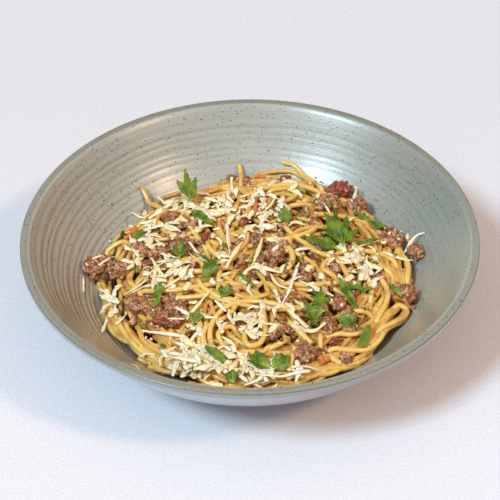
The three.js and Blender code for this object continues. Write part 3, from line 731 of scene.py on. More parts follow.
def glaze_finish():
    f = Finish("speckled sage glaze", IOR=1.52, Coat_Weight=0.9, Coat_Roughness=0.28)
    x, y, _ = f.axes()
    across = f.math("SQRT", x * x + y * y)
    drifting = across + (f.noise(40, 1) - 0.5) * (4 * MM)
    rings = Term(f, f.node("CombineXYZ", X=drifting).outputs[0])
    bands = f.between(f.noise(2.6, 2, rings), 0.36, 0.64)
    groove = f.between(f.tone(), 0.35, -0.5)

    # Sage at the back, painted darker toward the right as shade. Taupe grooves at the front left: the taupe
    # partly the glaze and partly warm light painted in, the grooves darker partly as painted shade across
    # the ridges and partly as glaze pooled there. Paler at the front right as painted light.
    sage = f.mix(f.noise(30, 3), srgb(163, 167, 160), srgb(175, 179, 175))
    # Painted shade: the sage darker toward the right
    sage = f.mix(f.between(x, 30 * MM, 110 * MM), sage, srgb(146, 150, 142))
    # Taupe toward the front left, partly the glaze breaking over the ridges and partly painted warm light
    warm = f.between(-0.8 * x - 0.6 * y, -20 * MM, 100 * MM)
    lined = 0.6 * f.between(y, 40 * MM, -50 * MM) + 0.3
    # Crests lighter and grooves darker, partly painted light and shade across the ridges, stronger toward
    # the front
    taupe = f.mix(groove * lined, srgb(186, 180, 170), srgb(122, 110, 96))
    body = f.mix(0.8 * warm, sage, taupe)
    # Darker bands in the grooves, partly painted shade and partly glaze pooled there
    body = f.mix(0.35 * (bands * groove), body, srgb(118, 114, 98))
    # Painted light: the front right of the wall paler
    front_right_painted_light = f.between(0.6 * x - 0.8 * y, 40 * MM, 100 * MM)
    body = f.mix(0.6 * front_right_painted_light, body, srgb(196, 188, 166))

    # The lip, a painted shade line along its outer edge, and the plain outside in a bluer grey, partly its
    # own glaze and partly a painted reflection of the table and room
    rim = f.mix(f.between(y, 0.0, 120 * MM), srgb(140, 143, 132), srgb(120, 121, 104))
    body = f.mix(0.8 * f.between(across, 120.5 * MM, 121.5 * MM), body, rim)
    # Painted shade: a dark line along the lip's outer edge
    body = f.mix(f.between(across, 124.3 * MM, 124.8 * MM), body, srgb(112, 114, 96))
    facing = f.output("NewGeometry", "True Normal")
    outward = 1.0 - f.between(f.axes(facing)[2], -0.1, 0.3)
    inward = 1.0 - outward
    # The outside a bluer grey, partly its own glaze and partly a painted reflection of the table and room
    body = f.mix(outward, body, srgb(158, 164, 172))

    # Iron specks, fewer of them outside
    near, chance = f.cells(2.2)
    chosen, shade, _ = f.axes(chance)
    small = f.between(near, 0.23, 0.14) * f.between(chosen, 0.22, 0.38)
    large = f.between(f.cells(4.6)[0], 0.13, 0.09)
    specks = f.math("MAXIMUM", small, large) * (1.0 - 0.75 * outward)
    speck = f.mix(shade, srgb(66, 52, 40), srgb(108, 82, 56))
    f.colour(f.mix(0.88 * specks, body, speck))
    f.roughness(0.14 * f.noise(3, 3) * inward + 0.24)
    relief = 3.0 * f.noise(1.3, 3, rings) + 2.0 * f.noise(1.1, 3)
    f.bump(relief * inward, 0.07)
    return f.material


def pasta_finish(name, sauce_and_shade_share, sauce_and_shade_colour):
    f = Finish(
        name, IOR=1.45, Coat_Weight=0.35, Coat_Roughness=0.12,
        Subsurface_Weight=0.12, Subsurface_Scale=0.0015, Subsurface_Radius=(1.0, 0.62, 0.3),
    )
    pale = f.mix(f.noise(5, 3), srgb(245, 210, 130), srgb(224, 182, 86))
    body = f.mix(f.between(f.tone(), -0.6, 1.4), pale, srgb(218, 170, 78))
    # Sauce on the strands; for the strands below, more of it and darker, partly painted shade deep in the
    # heap
    body = f.mix(0.6 * f.between(f.noise(11, 3), *sauce_and_shade_share), body, sauce_and_shade_colour)
    f.colour(f.mix(0.6 * f.between(f.noise(1.6, 2), 0.66, 0.74), body, srgb(168, 84, 40)))
    f.roughness(0.25 * f.noise(4, 2) + 0.22)
    f.bump(f.noise(0.9, 3), 0.08, 0.5)
    return f.material


def sauce_and_shade_finish():
    f = Finish("thick meat sauce and gap shade", IOR=1.45, Coat_Weight=0.35, Coat_Roughness=0.2)
    # Dark browns, partly the sauce and partly painted shade for the gaps between strands
    body = f.mix(f.between(f.noise(4, 4), 0.35, 0.65), srgb(88, 48, 26), srgb(138, 82, 44))
    f.colour(f.mix(f.between(f.noise(9, 3), 0.55, 0.7), body, srgb(128, 52, 24)))
    f.roughness(0.3 * f.noise(2, 3) + 0.3)
    f.bump(f.noise(1.4, 4), 0.5)
    return f.material


def mince_finish():
    f = Finish(
        "browned mince", IOR=1.45, Coat_Weight=0.25, Coat_Roughness=0.25,
        Subsurface_Weight=0.05, Subsurface_Scale=0.001,
    )
    near, chance = f.cells(1.5)
    grain = f.mix(f.axes(chance)[0], srgb(194, 132, 86), srgb(238, 184, 136))
    meat = f.mix(f.between(f.noise(2.6, 3), 0.38, 0.58), srgb(142, 86, 52), grain)
    # Painted shade in the crevices between grains
    meat = f.mix(0.7 * f.between(near, 0.5, 0.85), meat, srgb(84, 44, 22))
    # Pale flecks, partly pale grains of meat and partly painted highlights
    meat = f.mix(0.6 * f.between(f.noise(1.4, 3), 0.58, 0.7), meat, srgb(246, 212, 174))
    meat = f.mix(0.5 * f.between(f.noise(7, 3), 0.54, 0.68), meat, srgb(172, 86, 40))
    # Painted shade in small pits
    pit_shade = f.between(f.noise(1.1, 4, rough=0.7), 0.45, 0.35)
    meat = f.mix(0.8 * pit_shade, meat, srgb(58, 30, 18))
    # Painted shade in the hollows, where the surface turns inward
    hollow_shade = f.between(f.output("NewGeometry", "Pointiness"), 0.5, 0.43)
    f.colour(f.mix(hollow_shade, meat, srgb(44, 22, 12)))
    f.roughness(0.3 * f.noise(1.5, 3) + 0.32)
    f.bump(f.noise(0.7, 4, rough=0.7) - 0.6 * near, 0.6)
    return f.material


def tomato_finish():
    f = Finish(
        "cooked tomato", IOR=1.4, Coat_Weight=0.5, Coat_Roughness=0.1,
        Subsurface_Weight=0.1, Subsurface_Scale=0.0015,
    )
    red = f.mix(f.between(f.noise(2.6, 4), 0.35, 0.65), srgb(92, 36, 24), srgb(164, 70, 42))
    # Pinkish pale mottling, partly the tomato's skin and partly painted highlights
    red = f.mix(0.6 * f.between(f.noise(1.3, 3), 0.52, 0.66), red, srgb(196, 124, 92))
    f.colour(f.mix(f.between(f.tone(), 0.5, 1.0), red, srgb(214, 124, 56)))
    f.roughness(0.25 * f.noise(2, 3) + 0.18)
    f.bump(f.noise(0.9, 4), 0.4)
    return f.material


def cheese_finish():
    f = Finish(
        "grated hard cheese", IOR=1.45,
        Subsurface_Weight=0.35, Subsurface_Scale=0.002, Subsurface_Radius=(1.0, 0.8, 0.5),
    )
    body = f.mix(f.between(f.tone(), -1.0, 1.2), srgb(255, 243, 214), srgb(253, 228, 172))
    f.colour(f.mix(0.4 * f.between(f.noise(2.5, 3), 0.5, 0.75), body, srgb(240, 204, 136)))
    f.roughness(0.2 * f.noise(1, 2) + 0.42)
    f.bump(f.noise(0.45, 3), 0.1, 0.6)
    return f.material


def parsley_finish():
    f = Finish(
        "parsley", IOR=1.45, Coat_Weight=0.05,
        Subsurface_Weight=0.12, Subsurface_Scale=0.001, Subsurface_Radius=(0.5, 1.0, 0.2),
    )
    green = f.mix(f.between(f.noise(5, 3), 0.35, 0.65), srgb(70, 98, 14), srgb(118, 140, 30))
    f.colour(f.mix(f.between(f.tone(), 0.3, 1.0), green, srgb(162, 180, 70)))
    f.roughness(0.2 * f.noise(2, 2) + 0.34)
    f.bump(f.noise(0.7, 3), 0.12, 0.7)
    return f.material


def table_finish():
    f = Finish("white table", IOR=1.45)
    grain = f.between(f.noise(1.6, 3), 0.3, 0.7)
    near = f.mix(grain, srgb(228, 228, 236), srgb(240, 239, 245))
    # Painted shade: the far side of the table darker
    far = f.mix(grain, srgb(214, 214, 222), srgb(226, 225, 231))
    f.colour(f.mix(f.between(f.axes()[1], -150 * MM, 250 * MM), near, far))
    f.roughness(0.1 * f.noise(8, 2) + 0.5)
    f.bump(f.noise(1.2, 3), 0.1, 0.4)
    return f.material


# Adds a piece of the dish: it rides on the one body, and stands for its nodes
def add_piece(shapes, name, finish, slot, *nodes):
    piece = shapes.to_object(name, finish)
    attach(piece, "root")
    if nodes:
        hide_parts(*nodes)


# Throwing ridges: low rings that run round the inside, uneven from one to the next
def ridge_height(radius, angle):
    turns = 2 * np.pi * radius / RIDGE_PITCH
    wave = np.sin(turns + angle) + 0.6 * np.sin(1.37 * turns + 1.1) + 0.5 * np.sin(0.61 * turns + 2 * angle)
    inner, outer = RIDGE_FADES
    fade = eased((radius - RIDGE_FROM) / inner) * (1 - eased((radius - RIDGE_TO) / outer))
    toward_left = 0.5 - 0.5 * np.cos(angle - math.radians(RIDGE_SIDE))
    return RIDGE_HEIGHT * wave * fade * (0.25 + 0.75 * toward_left**2)


def bowl_profile():
    """Radius and height from the underside out to the lip and back in, and where the inside starts."""
    under_lip = BOWL_HEIGHT - LIP_HEIGHT
    floor_edge = FOOT_INNER - FOOT_HEIGHT
    profile = [
        (floor_edge - 20, FOOT_HEIGHT),
        (floor_edge, FOOT_HEIGHT),
        (FOOT_INNER - 0.4, 0.3),
        (FOOT_INNER + 0.4, 0),
        (FOOT_OUTER - 0.4, 0),
        (FOOT_OUTER + 0.2, 0.4),
        (FOOT_OUTER + EDGE_ROUND, FOOT_HEIGHT),
    ]
    profile += [outside_point(radius) for radius in np.arange(*OUTSIDE_RADII)]
    profile += [
        (BOWL_RADIUS - LIP_OVERHANG, under_lip),
        (BOWL_RADIUS - 0.25, under_lip + 0.25),
        (BOWL_RADIUS, under_lip + EDGE_ROUND),
    ]
    for turn in np.linspace(0, math.pi / 2, 5):
        radius = BOWL_RADIUS - EDGE_ROUND + EDGE_ROUND * math.cos(turn)
        profile.append((radius, BOWL_HEIGHT - EDGE_ROUND * (1 - math.sin(turn))))
    profile += [
        (BOWL_RADIUS - 2, BOWL_HEIGHT - 0.1),
        (INSIDE_RADIUS + 1.1, BOWL_HEIGHT - 0.15),
        (INSIDE_RADIUS + 0.5, BOWL_HEIGHT - 0.5),
    ]
    first_inside = len(profile)
    inside = np.arange(INSIDE_RADIUS - 0.6, 3, -BOWL_PROFILE_STEP)
    profile += [(radius, float(inside_height(radius))) for radius in inside]
    return np.array(profile), first_inside


def make_bowl(finish):
    profile, first_inside = bowl_profile()
    radius = profile[:, :1]
    angle = 2 * np.pi * np.arange(BOWL_SIDES) / BOWL_SIDES
    inside = (np.arange(len(profile)) >= first_inside)[:, None]
    ridges = inside * ridge_height(radius, angle[None, :])
    rings = np.stack([radius * np.cos(angle), radius * np.sin(angle), profile[:, 1:] + ridges], axis=2)
    middle = (0, 0, float(inside_height(0)))
    points, faces = wrapped_surface(rings[:, ::-1], (0, 0, FOOT_HEIGHT), middle)
    crest = ridges[:, ::-1] / RIDGE_HEIGHT
    shapes = Shapes()
    shapes.add(points, faces, np.concatenate([crest.ravel(), (0.0, 0.0)]))
    add_piece(shapes, "bowl_glazed", finish, "glaze", "bowl")


def core_floor(x, y):
    return wall_height(x, y) + CORE_GAP


def core_ring(share, height, lumps=0.0):
    """A ring of the core at a share of its reach, on its top or its floor."""
    angle = 2 * np.pi * np.arange(CORE_SIDES) / CORE_SIDES
    reach = share * (HEAP_REACH + HEAP_REACH_RIGHT * np.cos(angle))
    x = HEAP_X + reach * np.cos(angle)
    y = HEAP_Y + reach * np.sin(angle)
    uneven = np.array([noise.noise(Vector((a, b, 0)) / 6) for a, b in zip(x, y)])
    return np.column_stack([x, y, height(x, y) + lumps * uneven])


# The heap's core: thick sauce under the strands, painted dark as the shade in the gaps between them
def make_core(finish):
    rings = [core_ring(share, core_height, CORE_LUMPS) for share in np.linspace(0.04, CORE_SHARE, 34)]
    rings += [core_ring(share, core_floor) for share in np.linspace(CORE_SHARE, 0.1, 8)]
    top = (HEAP_X, HEAP_Y, float(core_height(HEAP_X + 0.01, HEAP_Y)))
    bottom = (HEAP_X, HEAP_Y, float(core_floor(HEAP_X, HEAP_Y)))
    shapes = Shapes()
    shapes.add(*wrapped_surface(np.stack(rings), top, bottom))
    add_piece(shapes, "sauce_core", finish, "tomato", "spaghetti")


# A strand's wandering route: an arc whose bend drifts, turned along the edge where it nears it
def wander(random, place, heading, length, bend):
    route = [place]
    bend = bend * random.choice([-1, 1])
    for _ in range(round(length / WANDER_STEP)):
        x, y = route[-1]
        bend += BEND_DRIFT * random.normal()
        heading += bend * WANDER_STEP
        share = float(heap_share(x, y))
        if share > EDGE_TURN:
            near_edge = min((share - EDGE_TURN) / (EDGE_LIMIT - EDGE_TURN), 1)
            out = math.atan2(y - HEAP_Y, x - HEAP_X)
            side = 1 if math.sin(heading - out) >= 0 else -1
            aim = out + side * math.radians(95 + 60 * near_edge)
            turn = (aim - heading + math.pi) % (2 * math.pi) - math.pi
            heading += turn * near_edge
        route.append((x + WANDER_STEP * math.cos(heading), y + WANDER_STEP * math.sin(heading)))
    return route


def heap_place(reach, turn):
    return HEAP_X + reach * math.cos(turn), HEAP_Y + reach * math.sin(turn)


def spread_places(count, share, random):
    golden = math.pi * (3 - math.sqrt(5))
    for index in range(count):
        turn = index * golden + random.uniform(0, 0.5)
        yield heap_place(share * math.sqrt((index + 0.5) / count) * HEAP_REACH, turn)


def scattered(count, share, random):
    for _ in range(count):
        turn = random.uniform(0, 2 * math.pi)
        yield heap_place(share * HEAP_REACH * math.sqrt(random.uniform(0, 1)), turn)


def zone_places(zones, limit, random):
    """Places round the middle of each zone, as far out as a share of the heap."""
    for x, y, wide, deep, count in zones:
        for _ in range(count):
            place = (x + ZONE_SPREAD * wide * random.normal(), y + ZONE_SPREAD * deep * random.normal())
            if heap_share(*place) < limit:
                yield place


def lay_edge_strands(shapes, ground, run, random):
    """Strands that lie along a stretch of the heap's edge, each drifting in and out."""
    count, first, last, inner, outer, drift_in = run
    for index in range(count):
        start = math.radians(first + (last - first) * (index + random.uniform(0, 1)) / count)
        share = random.uniform(inner, outer)
        sweep = random.choice([-1, 1]) * random.uniform(0.5, 1.2)
        drift = random.uniform(-drift_in, 0.02)
        route = []
        for step in np.linspace(0, 1, 7):
            reach = (share + drift * step + 0.02 * math.sin(9 * step + index)) * HEAP_REACH
            route.append(heap_place(reach, start + sweep * step))
        add_noodle(shapes, ground, route, "both", "edge", random)


def clear_spots():
    """Places where mince shows, so few strands cross them: middle and reach."""
    spots = [(x, y, 0.9 * size) for x, y, size in MINCE_BUMPS]
    for name in (*MINCE_LUMPS, *TOMATO_LUMPS):
        low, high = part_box(name)
        middle = (low + high) / (2 * MM)
        spots.append((middle.x, middle.y, (high.x - low.x + high.y - low.y) / (4 * MM) + 1))
    return np.array(spots)


def crossed(route, spots):
    points = even_route(route, 3)
    away = np.hypot(points[:, None, 0] - spots[:, 0], points[:, None, 1] - spots[:, 1])
    return float((away < spots[:, 2]).any(axis=1).mean())


def lay_loose_strands(shapes, ground, kind, spots=None):
    """Strands all over the heap. With spots given, each takes the route that crosses the fewest."""
    random = random_for(kind)
    count, length, share = LOOSE_STRANDS[kind]
    for place in spread_places(count, share, random):
        routes = []
        for _ in range(1 if spots is None else ROUTES_TRIED):
            heading = random.uniform(0, 2 * math.pi)
            stretch = length * random.uniform(0.65, 1.3)
            bend = random.uniform(0.005, 0.05)
            routes.append(wander(random, place, heading, stretch, bend))
        route = routes[0] if spots is None else min(routes, key=lambda r: crossed(r, spots))
        add_noodle(shapes, ground, route, "both", kind, random)


def add_noodle(shapes, ground, route, sinks, kind, random):
    sides, step, *layer = STRAND_KINDS[kind]
    line = lay(ground, route, NOODLE_RADIUS, step, NOODLE_SAG, NOODLE_PRESS, layer, sinks)
    along = np.arange(len(line)) * step
    swell = 1 + 0.05 * np.sin(along / random.uniform(5, 11) + random.uniform(0, 6))
    radius = NOODLE_RADIUS * random.uniform(0.9, 1.06) * swell
    tone = random.uniform(-1, 1)
    add_tube(shapes, line, radius, radius * NOODLE_FLATNESS, sides, tone=tone, blunt=NOODLE_END)


# How far a crumb reaches each way: a soft block broken by a few flat faces
def broken_reach(directions, random, cuts):
    block = 1 / (np.abs(directions) ** 4).sum(axis=1) ** 0.25
    faces = random.normal(size=(cuts, 3))
    faces /= np.linalg.norm(faces, axis=1)[:, None]
    depth = random.uniform(0.7, 1.05, cuts)
    toward = np.maximum(directions @ faces.T, 1e-3)
    return np.minimum(block, (depth / toward).min(axis=1))


# One crumb of mince: bits of meat all over a broken middle
def add_crumb(shapes, centre, half, turn, grain, random):
    grain_points, grain_faces = BALLS[1]
    middle_points, middle_faces = BALLS[4 if max(half) > 4 else 3]
    across = np.array(half, float)
    area = 4 * math.pi * (np.sum((across * np.roll(across, 1)) ** 1.6) / 3) ** (1 / 1.6)
    outward = random.normal(size=(max(8, int(area / (GRAIN_SPACING * grain**2))), 3))
    outward /= np.linalg.norm(outward, axis=1)[:, None]
    both = np.vstack([middle_points, outward])
    dents = np.array([noise.noise(Vector(point * across) / DENT_SIZE + Vector(centre)) for point in both])
    reach = broken_reach(both, random, CUTS) * (1 + DENT_DEPTH * dents)
    middle_reach, grain_reach = np.split(reach, [len(middle_points)])
    middle = middle_points * across * MIDDLE_SHARE * middle_reach[:, None]
    shapes.add(middle @ turn.T + centre, middle_faces)
    for out, far in zip(outward, grain_reach):
        size = grain * random.uniform(0.4, 1.5) * np.array(GRAIN_SHAPE) * random.uniform(0.8, 1.2, 3)
        at = out * across * far * random.uniform(0.9, 1.02)
        shapes.add(((grain_points * size) @ random_turn(random).T + at) @ turn.T + centre, grain_faces)


# A lump of mince: a broken block with crumbs stuck round it
def add_lump(shapes, centre, half, turn, random):
    spin = np.array(Matrix.Rotation(math.radians(turn), 3, "Z"))
    across = np.array(half, float)
    add_crumb(shapes, centre, across * 0.9, spin, GRAIN, random)
    for index in range(LUMP_CRUMBS):
        rise = 1 - 2 * (index + 0.5) / LUMP_CRUMBS
        around = index * math.pi * (3 - math.sqrt(5)) + random.uniform(-0.3, 0.3)
        flat = math.sqrt(1 - rise * rise)
        out = np.array([flat * math.cos(around), flat * math.sin(around), rise])
        size = across.mean() * random.uniform(0.16, 0.3)
        at = out * np.maximum(across - size * 0.7, 0.1) * random.uniform(0.85, 1.0)
        stretch = random.uniform(0.8, 1.25, 3)
        add_crumb(shapes, centre + spin @ at, size * stretch, random_turn(random), GRAIN, random)


# Small crumbs, made once and then copied, turned and stretched
def make_crumb_kinds(random):
    kinds = []
    for _ in range(CRUMB_KINDS):
        grains = Shapes()
        middle = np.zeros(3)
        for _ in range(CRUMB_BITS):
            half = random.uniform(0.6, 1.5) * random.uniform(0.7, 1.3, 3)
            add_crumb(grains, middle, half, random_turn(random), CRUMB_GRAIN, random)
            middle = middle + random.normal(0, 0.8, 3)
        points, faces = fused(grains, *CRUMB_SKIN)
        kinds.append((points - points.mean(axis=0), faces))
    return kinds


def lay_crumbs(meat, kinds, ground, zones, random):
    """Crumbs of mince, each resting on what lies below it."""
    for x, y in zone_places(zones, CRUMBS_REACH, random):
        size = random.uniform(*CRUMB_SIZE)
        points, faces = kinds[random.integers(len(kinds))]
        z = min(ground.rest_one(x, y, size), float(heap_height(x, y)) + CRUMB_CEILING) - CRUMB_SINK * size
        stretch = size / CRUMB_REACH * random.uniform(0.55, 1.5, 3)
        meat.add((points * stretch) @ random_turn(random).T + (x, y, z), faces)
        cover_lump(ground, (x, y, z), (0.9 * size, 0.9 * size, 0.8 * size))


def random_turn(random):
    axis = Vector(random.normal(size=3)).normalized()
    return np.array(Matrix.Rotation(random.uniform(0, 2 * math.pi), 3, axis))


# Joins overlapping shapes into one skin of small squares, then roughens it
def fused(shapes, voxel, roughness, scale):
    piece = shapes.to_object("to_fuse", None)
    skin = piece.modifiers.new("skin", "REMESH")
    skin.mode = "VOXEL"
    skin.voxel_size = voxel * MM
    piece.modifiers.new("triangles", "TRIANGULATE")
    graph = bpy.context.evaluated_depsgraph_get()
    mesh = bpy.data.meshes.new_from_object(piece.evaluated_get(graph))
    push = [noise.noise(vertex.co / (scale * MM)) for vertex in mesh.vertices]
    points = np.array([vertex.co for vertex in mesh.vertices]) / MM
    normals = np.array([vertex.normal for vertex in mesh.vertices])
    faces = np.array([polygon.vertices for polygon in mesh.polygons])
    for data in (piece.data, mesh):
        bpy.data.meshes.remove(data)
    return points + normals * roughness * np.array(push)[:, None], faces


def node_middle(name):
    low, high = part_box(name)
    return np.array((low + high) / (2 * MM))


def lay_lump(meat, ground, centre, half, turn, random):
    """A lump of mince, as one skin over its grains."""
    grains = Shapes()
    add_lump(grains, centre, half, turn, random)
    meat.add(*fused(grains, *LUMP_SKIN))
    cover_lump(ground, centre, half)


def lay_mince(ground):
    """The big lumps, and the patches between strands."""
    meat = Shapes()
    random = random_for("mince")
    for name, (half, turn) in MINCE_LUMPS.items():
        lay_lump(meat, ground, node_middle(name), half, turn, random)
    for x, y, size in MINCE_BUMPS:
        centre = np.array([x, y, float(heap_height(x, y)) + PATCH_RISE - 0.55 * size])
        half = (size, size, 0.6 * size)
        lay_lump(meat, ground, centre, half, random.uniform(0, 180), random)
    return meat


def cover_lump(ground, centre, half):
    reach = (half[0] + half[1]) / 2
    steps = np.arange(-reach, reach + GRID, GRID)
    x, y = (axis.ravel() for axis in np.meshgrid(steps, steps))
    inside = np.hypot(x, y) < reach
    x, y = x[inside], y[inside]
    z = half[2] * np.sqrt(1 - (np.hypot(x, y) / reach) ** 2)
    ground.cover(np.column_stack([centre[0] + x, centre[1] + y, centre[2] + z - GRID]), GRID)


# Tomato and carrot
def make_vegetables(finish, ground):
    shapes = Shapes()
    for name, (half, turn, bend, rough) in TOMATO_LUMPS.items():
        centre = node_middle(name)
        add_chunk(shapes, BALLS[4], centre, half, turn, 0.0, rough, bend)
        cover_lump(ground, centre, half)
    for tone, bits in ((0.0, TOMATO_BITS), (1.0, CARROT_BITS)):
        for x, y, long, wide, turn in bits:
            half = (long / 2, wide / 2, wide / 2.4)
            centre = np.array([x, y, ground.rest_one(x, y, wide / 2) - 0.25 * wide])
            add_chunk(shapes, BALLS[3], centre, half, turn, tone, BIT_ROUGHNESS)
            cover_lump(ground, centre, half)
    add_piece(shapes, "tomato_and_carrot", finish, "tomato", *TOMATO_LUMPS)


def add_chunk(shapes, form, centre, half, turn, tone, rough, bend=0.0):
    """A cut, cooked piece: a box with rounded sides, uneven all over."""
    points, faces = form
    spin = np.array(Matrix.Rotation(math.radians(turn), 3, "Z"))
    boxy = points / np.maximum(np.abs(points).max(axis=1), 1e-6)[:, None]
    body = (0.62 * points + 0.38 * boxy) * np.array(half)
    push = np.array([noise.noise(Vector(p) / 2.4 + Vector(centre)) for p in body])
    body = body * (1 + rough * push[:, None])
    body[:, 1] += bend * ((body[:, 0] / half[0]) ** 2 - 0.4)
    shapes.add(body @ spin.T + centre, faces, tone)


# Grated cheese
def add_shred(shapes, ground, route, width, random):
    line = lay(
        ground, route, SHRED_RADIUS, SHRED_STEP, CHEESE_SAG, SHRED_PRESS, CHEESE_LAYER,
        open_from=CHEESE_OPEN,
    )
    share = np.linspace(0, 1, len(line))
    taper = 0.45 + 0.55 * np.sin(math.pi * np.clip(share, 0.02, 0.98)) ** random.uniform(0.25, 0.9)
    ripple = 1 + 0.24 * np.sin(share * random.uniform(6, 16) + random.uniform(0, 6))
    half = 0.58 * width * taper * ripple
    thick = np.minimum(0.5 * random.uniform(0.6, 1.0), half)
    roll = random.uniform(-0.5, 0.5) + random.uniform(-0.9, 0.9) * share
    add_tube(shapes, line, half, thick * taper, SHRED_SIDES, roll, random.uniform(-1, 1), SHRED_END)


def short_route(x, y, length, random):
    heading = random.uniform(0, 2 * math.pi)
    bend = random.normal(0, 1.0)
    route = []
    for share in (-0.5, 0, 0.5):
        side = bend * (0.25 - share * share) * length * 0.6
        route.append((
            x + share * length * math.cos(heading) - side * math.sin(heading),
            y + share * length * math.sin(heading) + side * math.cos(heading),
        ))
    return route


def make_cheese(finish, ground):
    shapes = Shapes()
    random = random_for("cheese")
    for x, y in zone_places(CHEESE_PILES, CHEESE_REACH, random):
        length = random.uniform(*CHEESE_LENGTH) * random.uniform(0.5, 1)
        route = short_route(x, y, length, random)
        add_shred(shapes, ground, route, random.uniform(*CHEESE_WIDTH), random)
    for route, width in CHEESE_SHREDS:
        add_shred(shapes, ground, route, width, random)
    grain_points, grain_faces = BALLS[2]
    for x, y in scattered(CHEESE_CRUMBS, 1.0, random):
        size = random.uniform(*CHEESE_GRAIN)
        z = ground.rest_one(x, y, size)
        body = (grain_points * size * random.uniform(0.4, 1.6, 3)) @ random_turn(random).T
        shapes.add(body + (x, y, z), grain_faces, random.uniform(-1, 1))
    add_piece(shapes, "grated_cheese", finish, "cheese")


# Parsley
def leaf_outline(long, wide, lobes, random):
    """Half the outline of a lobed leaf from foot to tip: how far along and how far out."""
    corners = np.array(LEAF_CORNERS[lobes]) * (long, wide / 2)
    corners[1:-1] += random.normal(0, 0.03, (len(corners) - 2, 2)) * (long, wide / 2)
    pieces = []
    for start, end in zip(corners, corners[1:]):
        run = end - start
        reach = float(np.hypot(*run))
        count = max(3, round(reach / OUTLINE_STEP))
        share = np.arange(count) / count
        bites = max(1, round(reach / TOOTH_PITCH))
        depth = LEAF_TEETH * (start[0] > 0.1 * long)
        teeth = depth * np.abs(np.sin(math.pi * share * bites))
        outward = np.array([-run[1], run[0]]) / max(reach, 1e-6)
        outward = outward if outward[1] > 0 or outward[0] > 0 else -outward
        pieces.append(start + share[:, None] * run + teeth[:, None] * outward)
    return np.vstack([*pieces, corners[-1:]]), corners


def add_lobed_leaf(shapes, ground, x, y, long, wide, turn, rise, lobes, random):
    right, corners = leaf_outline(long, wide, lobes, random)
    left, _ = leaf_outline(long, wide, lobes, random)
    outline = np.vstack([right, left[-2:0:-1] * (1, -1)])
    middle = np.array([0.2 * long, 0.0])
    shares = np.linspace(0.12, 1, 9)
    rings = middle + shares[:, None, None] * (outline - middle)
    tips = [corners[-1]]
    tips += [corners[index] * side for index in VEIN_CORNERS[lobes] for side in ((1, 1), (1, -1))]
    add_leaf_body(shapes, ground, (x, y), turn, rings, middle, tips, long, rise, random)


def add_blade(shapes, ground, x, y, long, wide, turn, rise, random):
    count = 22
    share = np.linspace(0, 1, count)
    oval = np.sin(np.pi * share**LEAF_FULLNESS) ** LEAF_ROUNDNESS
    wave = 1 + LEAF_WAVE * np.sin(18 * share + random.uniform(0, 6))
    half = np.maximum(wide / 2 * oval * wave, 0.12)
    along = np.maximum.accumulate(long * share)
    outline = np.vstack([
        np.column_stack([along, half]),
        np.column_stack([along, -half])[::-1],
    ])
    spine = np.concatenate([along, along[::-1]])
    shares = np.linspace(0, 1, 6)[1:]
    centre = np.column_stack([np.clip(spine, 0.06 * long, 0.94 * long), np.zeros(len(spine))])
    rings = centre + shares[:, None, None] * (outline - centre)
    tips = [np.array([long, 0.0])]
    add_leaf_body(shapes, ground, (x, y), turn, rings, None, tips, long, rise, random)


def add_leaf_body(shapes, ground, foot, turn, rings, middle, tips, long, rise, random):
    """Both faces of a thin leaf, draped over what it lies on, with its veins pressed in."""
    flat = rings.reshape(-1, 2)
    if middle is not None:
        flat = np.vstack([flat, [middle]])
    angle = math.radians(turn)
    x = foot[0] + flat[:, 0] * math.cos(angle) - flat[:, 1] * math.sin(angle)
    y = foot[1] + flat[:, 0] * math.sin(angle) + flat[:, 1] * math.cos(angle)
    low = ground.rest(x, y, LEAF_DRAPE) - LEAF_DRAPE
    curl = 0.35 * np.sin(flat[:, 0] / 2.4 + random.uniform(0, 6)) * np.abs(flat[:, 1]) / 4
    z = low + LEAF_LIFT + rise * flat[:, 0] / long + LEAF_FOLD * np.abs(flat[:, 1]) + curl
    vein = np.zeros(len(flat))
    for tip in tips:
        share = np.clip((flat @ tip) / float(tip @ tip), 0, 1)
        away = np.hypot(*(flat - share[:, None] * tip).T)
        vein = np.maximum(vein, np.exp(-((away / 0.35) ** 2)) * (1 - 0.6 * share))
    upper = np.column_stack([x, y, z + LEAF_THICKNESS / 2 - 0.12 * vein])
    lower = np.column_stack([x, y, z - LEAF_THICKNESS / 2])
    count, sides = rings.shape[:2]
    faces = band_faces(count, sides)
    edge = np.arange(sides)
    following = (edge + 1) % sides
    if middle is not None:
        faces.append(np.column_stack([np.full(sides, len(flat) - 1), edge, following]))
    else:
        half = sides // 2
        near = np.arange(half - 1)
        opposite = sides - 1 - near
        faces.append(np.column_stack([near, near + 1, opposite]))
        faces.append(np.column_stack([near + 1, opposite - 1, opposite]))
    top = np.vstack(faces)
    rim = (count - 1) * sides
    below = len(flat)
    sides_faces = [
        np.column_stack([rim + edge, rim + edge + below, rim + following]),
        np.column_stack([rim + following, rim + edge + below, rim + following + below]),
    ]
    whole = np.vstack([top, top[:, ::-1] + below, *sides_faces])
    shapes.add(np.vstack([upper, lower]), whole, np.concatenate([vein, vein]))


def make_parsley(finish, ground):
    shapes = Shapes()
    random = random_for("parsley")
    for _, x, y, long, wide, turn, rise, lobes in LEAVES:
        if lobes:
            add_lobed_leaf(shapes, ground, x, y, long, wide, turn, rise, lobes, random)
        else:
            add_blade(shapes, ground, x, y, long, wide, turn, rise, random)
    for x, y in scattered(PARSLEY_FLECKS, FLECKS_REACH, random):
        long = random.uniform(*FLECK_LENGTH)
        wide = long * random.uniform(0.3, 0.7)
        turn = random.uniform(0, 360)
        add_blade(shapes, ground, x, y, long, wide, turn, FLECK_RISE, random)
    add_piece(shapes, "parsley_leaves", finish, "parsley", *[row[0] for row in LEAVES])


